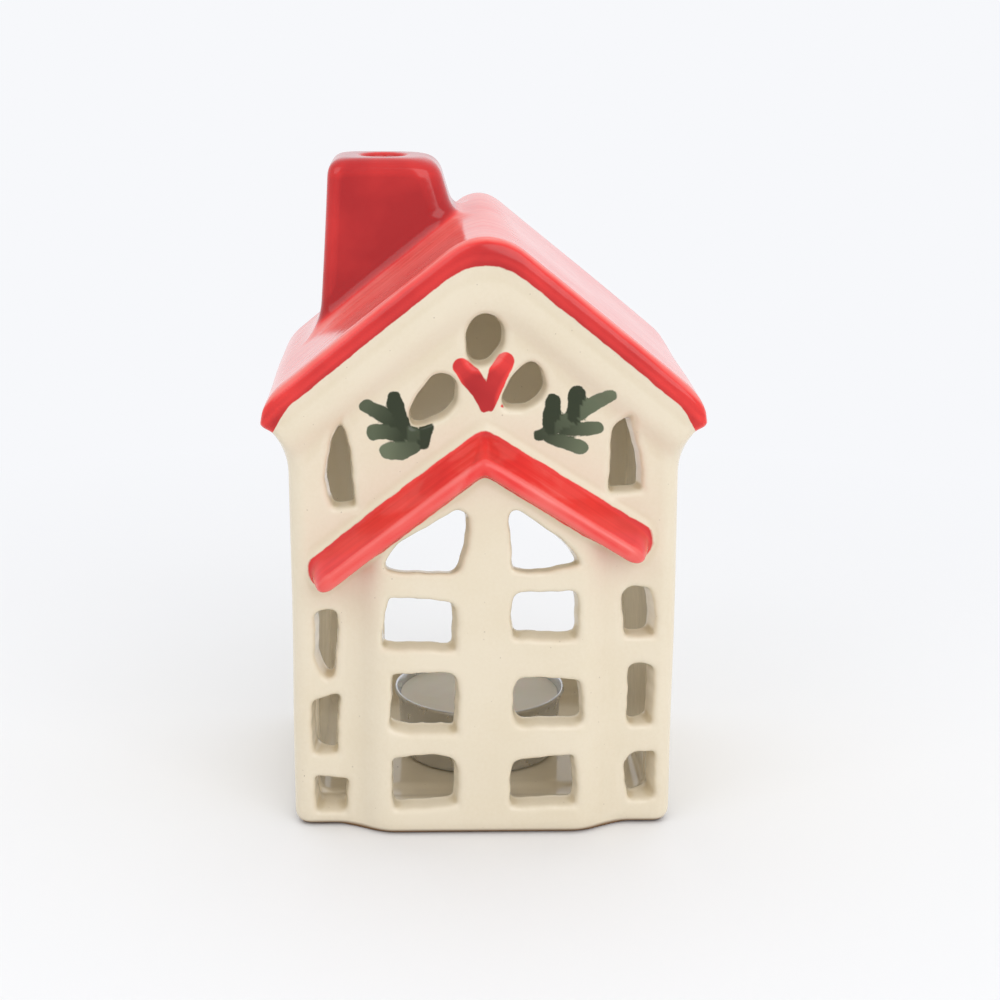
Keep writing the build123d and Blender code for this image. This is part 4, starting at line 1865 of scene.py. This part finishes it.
    def braid(self, cotton: bpy.types.Material) -> bpy.types.NodeTree:
        """The tree that braids the wick of strands that wind both ways round a straight core.

        Args:
            cotton: Its finish.

        Returns:
            The tree, with the wick's sizes as its inputs.
        """
        tree = bpy.data.node_groups.new("braided_wick", "GeometryNodeTree")
        kinds = dict.fromkeys(("Length", "Strand Radius", "Turns"), "NodeSocketFloat")
        kinds |= {"Strands": "NodeSocketInt", "Foot": "NodeSocketVector"}
        for name, kind in kinds.items():
            tree.interface.new_socket(name, in_out="INPUT", socket_type=kind)
        tree.interface.new_socket("Geometry", in_out="OUTPUT", socket_type="NodeSocketGeometry")
        add = partial(add_node, tree)
        sizes = add("NodeGroupInput").outputs
        strand = sizes["Strand Radius"]
        ring = add("GeometryNodeCurvePrimitiveCircle", {"Resolution": 8, "Radius": strand})
        step = add("ShaderNodeMath", {0: 2 * math.pi, 1: sizes["Strands"]}, operation="DIVIDE")
        index = add("GeometryNodeInputIndex")
        angle = add("ShaderNodeMath", {0: step, 1: index}, operation="MULTIPLY")
        turn = add("ShaderNodeCombineXYZ", {"Z": angle})
        middle = add("GeometryNodeMeshLine", {"Count": sizes["Strands"], "Offset": (0, 0, 0)})
        layers = add("GeometryNodeJoinGeometry")
        for reverse, layer in zip((False, True), self.layer_radii):
            radius = add("ShaderNodeMath", {0: strand, 1: layer}, operation="MULTIPLY")
            winding = {
                "Resolution": 14,
                "Rotations": sizes["Turns"],
                "Start Radius": radius,
                "End Radius": radius,
                "Height": sizes["Length"],
                "Reverse": reverse,
            }
            spiral = add("GeometryNodeCurveSpiral", winding)
            rope = {"Curve": spiral, "Profile Curve": ring, "Fill Caps": True}
            wound = {"Points": middle, "Instance": add("GeometryNodeCurveToMesh", rope), "Rotation": turn}
            feed(tree, layers, {0: add("GeometryNodeInstanceOnPoints", wound)})
        top = add("ShaderNodeCombineXYZ", {"Z": sizes["Length"]})
        line = add("GeometryNodeCurvePrimitiveLine", {"Start": (0, 0, 0), "End": top})
        thick = add("ShaderNodeMath", {0: strand, 1: self.core_radius}, operation="MULTIPLY")
        core_ring = add("GeometryNodeCurvePrimitiveCircle", {"Resolution": 12, "Radius": thick})
        core = {"Curve": line, "Profile Curve": core_ring, "Fill Caps": True}
        feed(tree, layers, {0: add("GeometryNodeCurveToMesh", core)})
        solid = add("GeometryNodeRealizeInstances", {0: layers})
        placed = add("GeometryNodeTransform", {"Geometry": solid, "Translation": sizes["Foot"]})
        dressed = add("GeometryNodeSetMaterial", {"Geometry": placed, "Material": cotton})
        add("NodeGroupOutput", {0: dressed})
        return tree

    def wick(self) -> bpy.types.Object:
        """The braided wick, made a plain mesh.

        Returns:
            The object, in place.
        """
        bottom = self.base + 2 * self.sheet + self.gap + self.wick_clear
        sizes = {
            "Length": (self.wick_length - 2 * self.wick_inset) * MM,
            "Strand Radius": self.wick_radius / self.strand_share * MM,
            "Turns": self.turns,
            "Strands": self.strands,
            "Foot": (self.centre[0] * MM, self.centre[1] * MM, (bottom + self.wick_inset) * MM),
        }
        piece = new_object("braided_wick", bpy.data.meshes.new("empty_wick"))
        modifier = piece.modifiers.new("braid", "NODES")
        modifier.node_group = self.braid(WAXED_COTTON.build())
        for item in modifier.node_group.interface.items_tree:
            if item.in_out == "INPUT":
                modifier[item.identifier] = sizes[item.name]
        shown = piece.evaluated_get(bpy.context.evaluated_depsgraph_get())
        braided = bpy.data.meshes.new_from_object(shown)
        piece.modifiers.clear()
        piece.data = braided
        braided.name = "braided_wick"
        return piece

    def build(self) -> None:
        """Builds the four pieces of the tealight."""
        hand_over(self.cup(), Body.TEALIGHT, ["tealight_cup"])
        hand_over(self.wax(), Body.TEALIGHT, ["tealight_wax"])
        hand_over(self.foot(), Body.TEALIGHT, ["wick_sustainer"])
        hand_over(self.wick(), Body.TEALIGHT, ["tealight_wick"])


# The studio


@dataclass(frozen=True)
class Softbox:
    """A square studio lamp that shines on the house, in metres and watts."""

    name: str
    place: Point3
    size: float
    power: float

    def build(self, target: Vector) -> None:
        """Adds the lamp, turned to the target and unseen by the camera.

        Args:
            target: What it shines on.
        """
        data = bpy.data.lights.new(self.name, "AREA")
        data.size = self.size
        data.energy = self.power
        lamp = bpy.data.objects.new(self.name, data)
        bpy.context.scene.collection.objects.link(lamp)
        lamp.location = self.place
        lamp.rotation_euler = (target - Vector(self.place)).to_track_quat("-Z", "Y").to_euler()
        lamp.visible_camera = False


@dataclass(frozen=True)
class Studio:
    """Pale floor, white surroundings, soft lamps and the camera, in metres and degrees.

    Attributes:
        floor_fade: Distances from the house between which the floor fades into the surroundings.
        paper: The white that the camera sees around the house.
        bright_side: Where the surroundings are brightest.
        levels, level_span: Light from the dim and the bright side, and where between them it changes.
        camera_place: Where the camera stands, in millimetres.
    """

    floor_colour: str = "#EEEFF1"
    floor_roughness: float = 0.7
    floor_half: float = 3.0
    floor_fade: Point2 = (0.1, 0.32)
    paper: str = "#F7F8FB"
    bright_side: Point3 = (0.25, 0.85, 0.46)
    levels: Point2 = (0.28, 1.06)
    level_span: Point2 = (-0.7, 0.25)
    lamps: tuple[Softbox, ...] = (
        Softbox("key_softbox", (0.45, -1.0, 0.62), 0.9, 4.4),
        Softbox("left_softbox", (-0.6, -0.7, 0.7), 0.7, 1.85),
    )
    target: Point3 = (0.0, 0.0, 0.06)
    camera_place: Point3 = (-11.824, -423.167, 174.523)
    camera_pitch: float = 14.867
    camera_yaw: float = 2.185
    camera_roll: float = -0.478
    lens: float = 72.0
    sensor: float = 36.0

    def seen(self, add: AddNode) -> Node:
        """Tells rays that see the white, from the camera or by way of gloss and glass, from rays of light.

        Args:
            add: Adds a node to the material or world.

        Returns:
            The node that is 1 for rays that see.
        """
        path = add("ShaderNodeLightPath").outputs
        mirrored = {0: path["Is Glossy Ray"], 1: path["Is Transmission Ray"]}
        straight = {0: path["Is Camera Ray"], 1: add("ShaderNodeMath", mirrored, operation="MAXIMUM")}
        return add("ShaderNodeMath", straight, operation="MAXIMUM")

    def floor(self) -> None:
        """A pale floor that keeps the shadow near the house and fades into the white surroundings."""
        material = bpy.data.materials.new("pale_paper_sweep")
        material.use_nodes = True
        tree = material.node_tree
        add = partial(add_node, tree)
        shader = tree.nodes["Principled BSDF"]
        feed(tree, shader, {"Base Color": linear(self.floor_colour), "Roughness": self.floor_roughness})
        place = add("ShaderNodeTexCoord").outputs["Object"]
        distance = add("ShaderNodeVectorMath", {0: place}, operation="LENGTH")
        fade = {"From Min": self.floor_fade[0], "From Max": self.floor_fade[1]}
        far = add("ShaderNodeMapRange", {"Value": distance, **fade})
        share = add("ShaderNodeMath", {0: self.seen(add), 1: far}, operation="MULTIPLY")
        white = add("ShaderNodeEmission", {"Color": linear(self.paper)})
        faded = add("ShaderNodeMixShader", {0: share, 1: shader, 2: white})
        feed(tree, tree.nodes["Material Output"], {"Surface": faded})
        half = self.floor_half
        corners = [(-half, -half, 0), (half, -half, 0), (half, half, 0), (-half, half, 0)]
        data = bpy.data.meshes.new("floor")
        data.from_pydata(corners, [], [(0, 1, 2, 3)])
        data.materials.append(material)
        new_object("floor", data)

    def surroundings(self) -> None:
        """Soft light from all sides, white behind the house and dimmer on the side of the camera."""
        world = bpy.data.worlds.new("studio")
        world.use_nodes = True
        tree = world.node_tree
        add = partial(add_node, tree)
        way = add("ShaderNodeTexCoord").outputs["Generated"]
        backward = add("ShaderNodeVectorMath", {0: way, 1: self.bright_side}, operation="DOT_PRODUCT")
        (start, end), (dim, bright) = self.level_span, self.levels
        spread = {"From Min": start, "From Max": end, "To Min": dim, "To Max": bright}
        level = add("ShaderNodeMapRange", {"Value": backward, **spread}, interpolation_type="SMOOTHSTEP")
        lights = {SHARE: self.seen(add), FIRST: level, SECOND: linear(self.paper)}
        light = add("ShaderNodeMix", lights, data_type="RGBA")
        feed(tree, tree.nodes["Background"], {"Color": light, "Strength": 1.0})
        bpy.context.scene.world = world

    def camera(self) -> None:
        """The camera at the photograph's place, a little above the roof and looking down."""
        pitch, yaw = math.radians(self.camera_pitch), math.radians(self.camera_yaw)
        forward = Vector((math.sin(yaw) * math.cos(pitch), math.cos(yaw) * math.cos(pitch), -math.sin(pitch)))
        level = Vector((math.cos(yaw), -math.sin(yaw), 0))
        down = forward.cross(level)
        roll = math.radians(self.camera_roll)
        right = math.cos(roll) * level + math.sin(roll) * down
        down = math.cos(roll) * down - math.sin(roll) * level
        turned = Matrix((right, -down, -forward)).transposed()
        data = bpy.data.cameras.new("camera")
        data.lens = self.lens
        data.sensor_width = self.sensor
        camera = bpy.data.objects.new("camera", data)
        bpy.context.scene.collection.objects.link(camera)
        camera.matrix_world = Matrix.Translation(Vector(self.camera_place) * MM) @ turned.to_4x4()
        bpy.context.scene.camera = camera

    def build(self) -> None:
        """Sets the stage."""
        bpy.context.scene.view_settings.view_transform = "Standard"
        self.floor()
        self.surroundings()
        for lamp in self.lamps:
            lamp.build(Vector(self.target))
        self.camera()


def main() -> None:
    """Builds the house, the tealight and the studio."""
    logging.basicConfig(level=logging.INFO, format="%(name)s: %(message)s")
    ClayHouse(HouseSizes.from_frame(), GlazedEarthenware().build()).build()
    Tealight.from_frame().build()
    Studio().build()


if __name__ == "__main__":
    main()
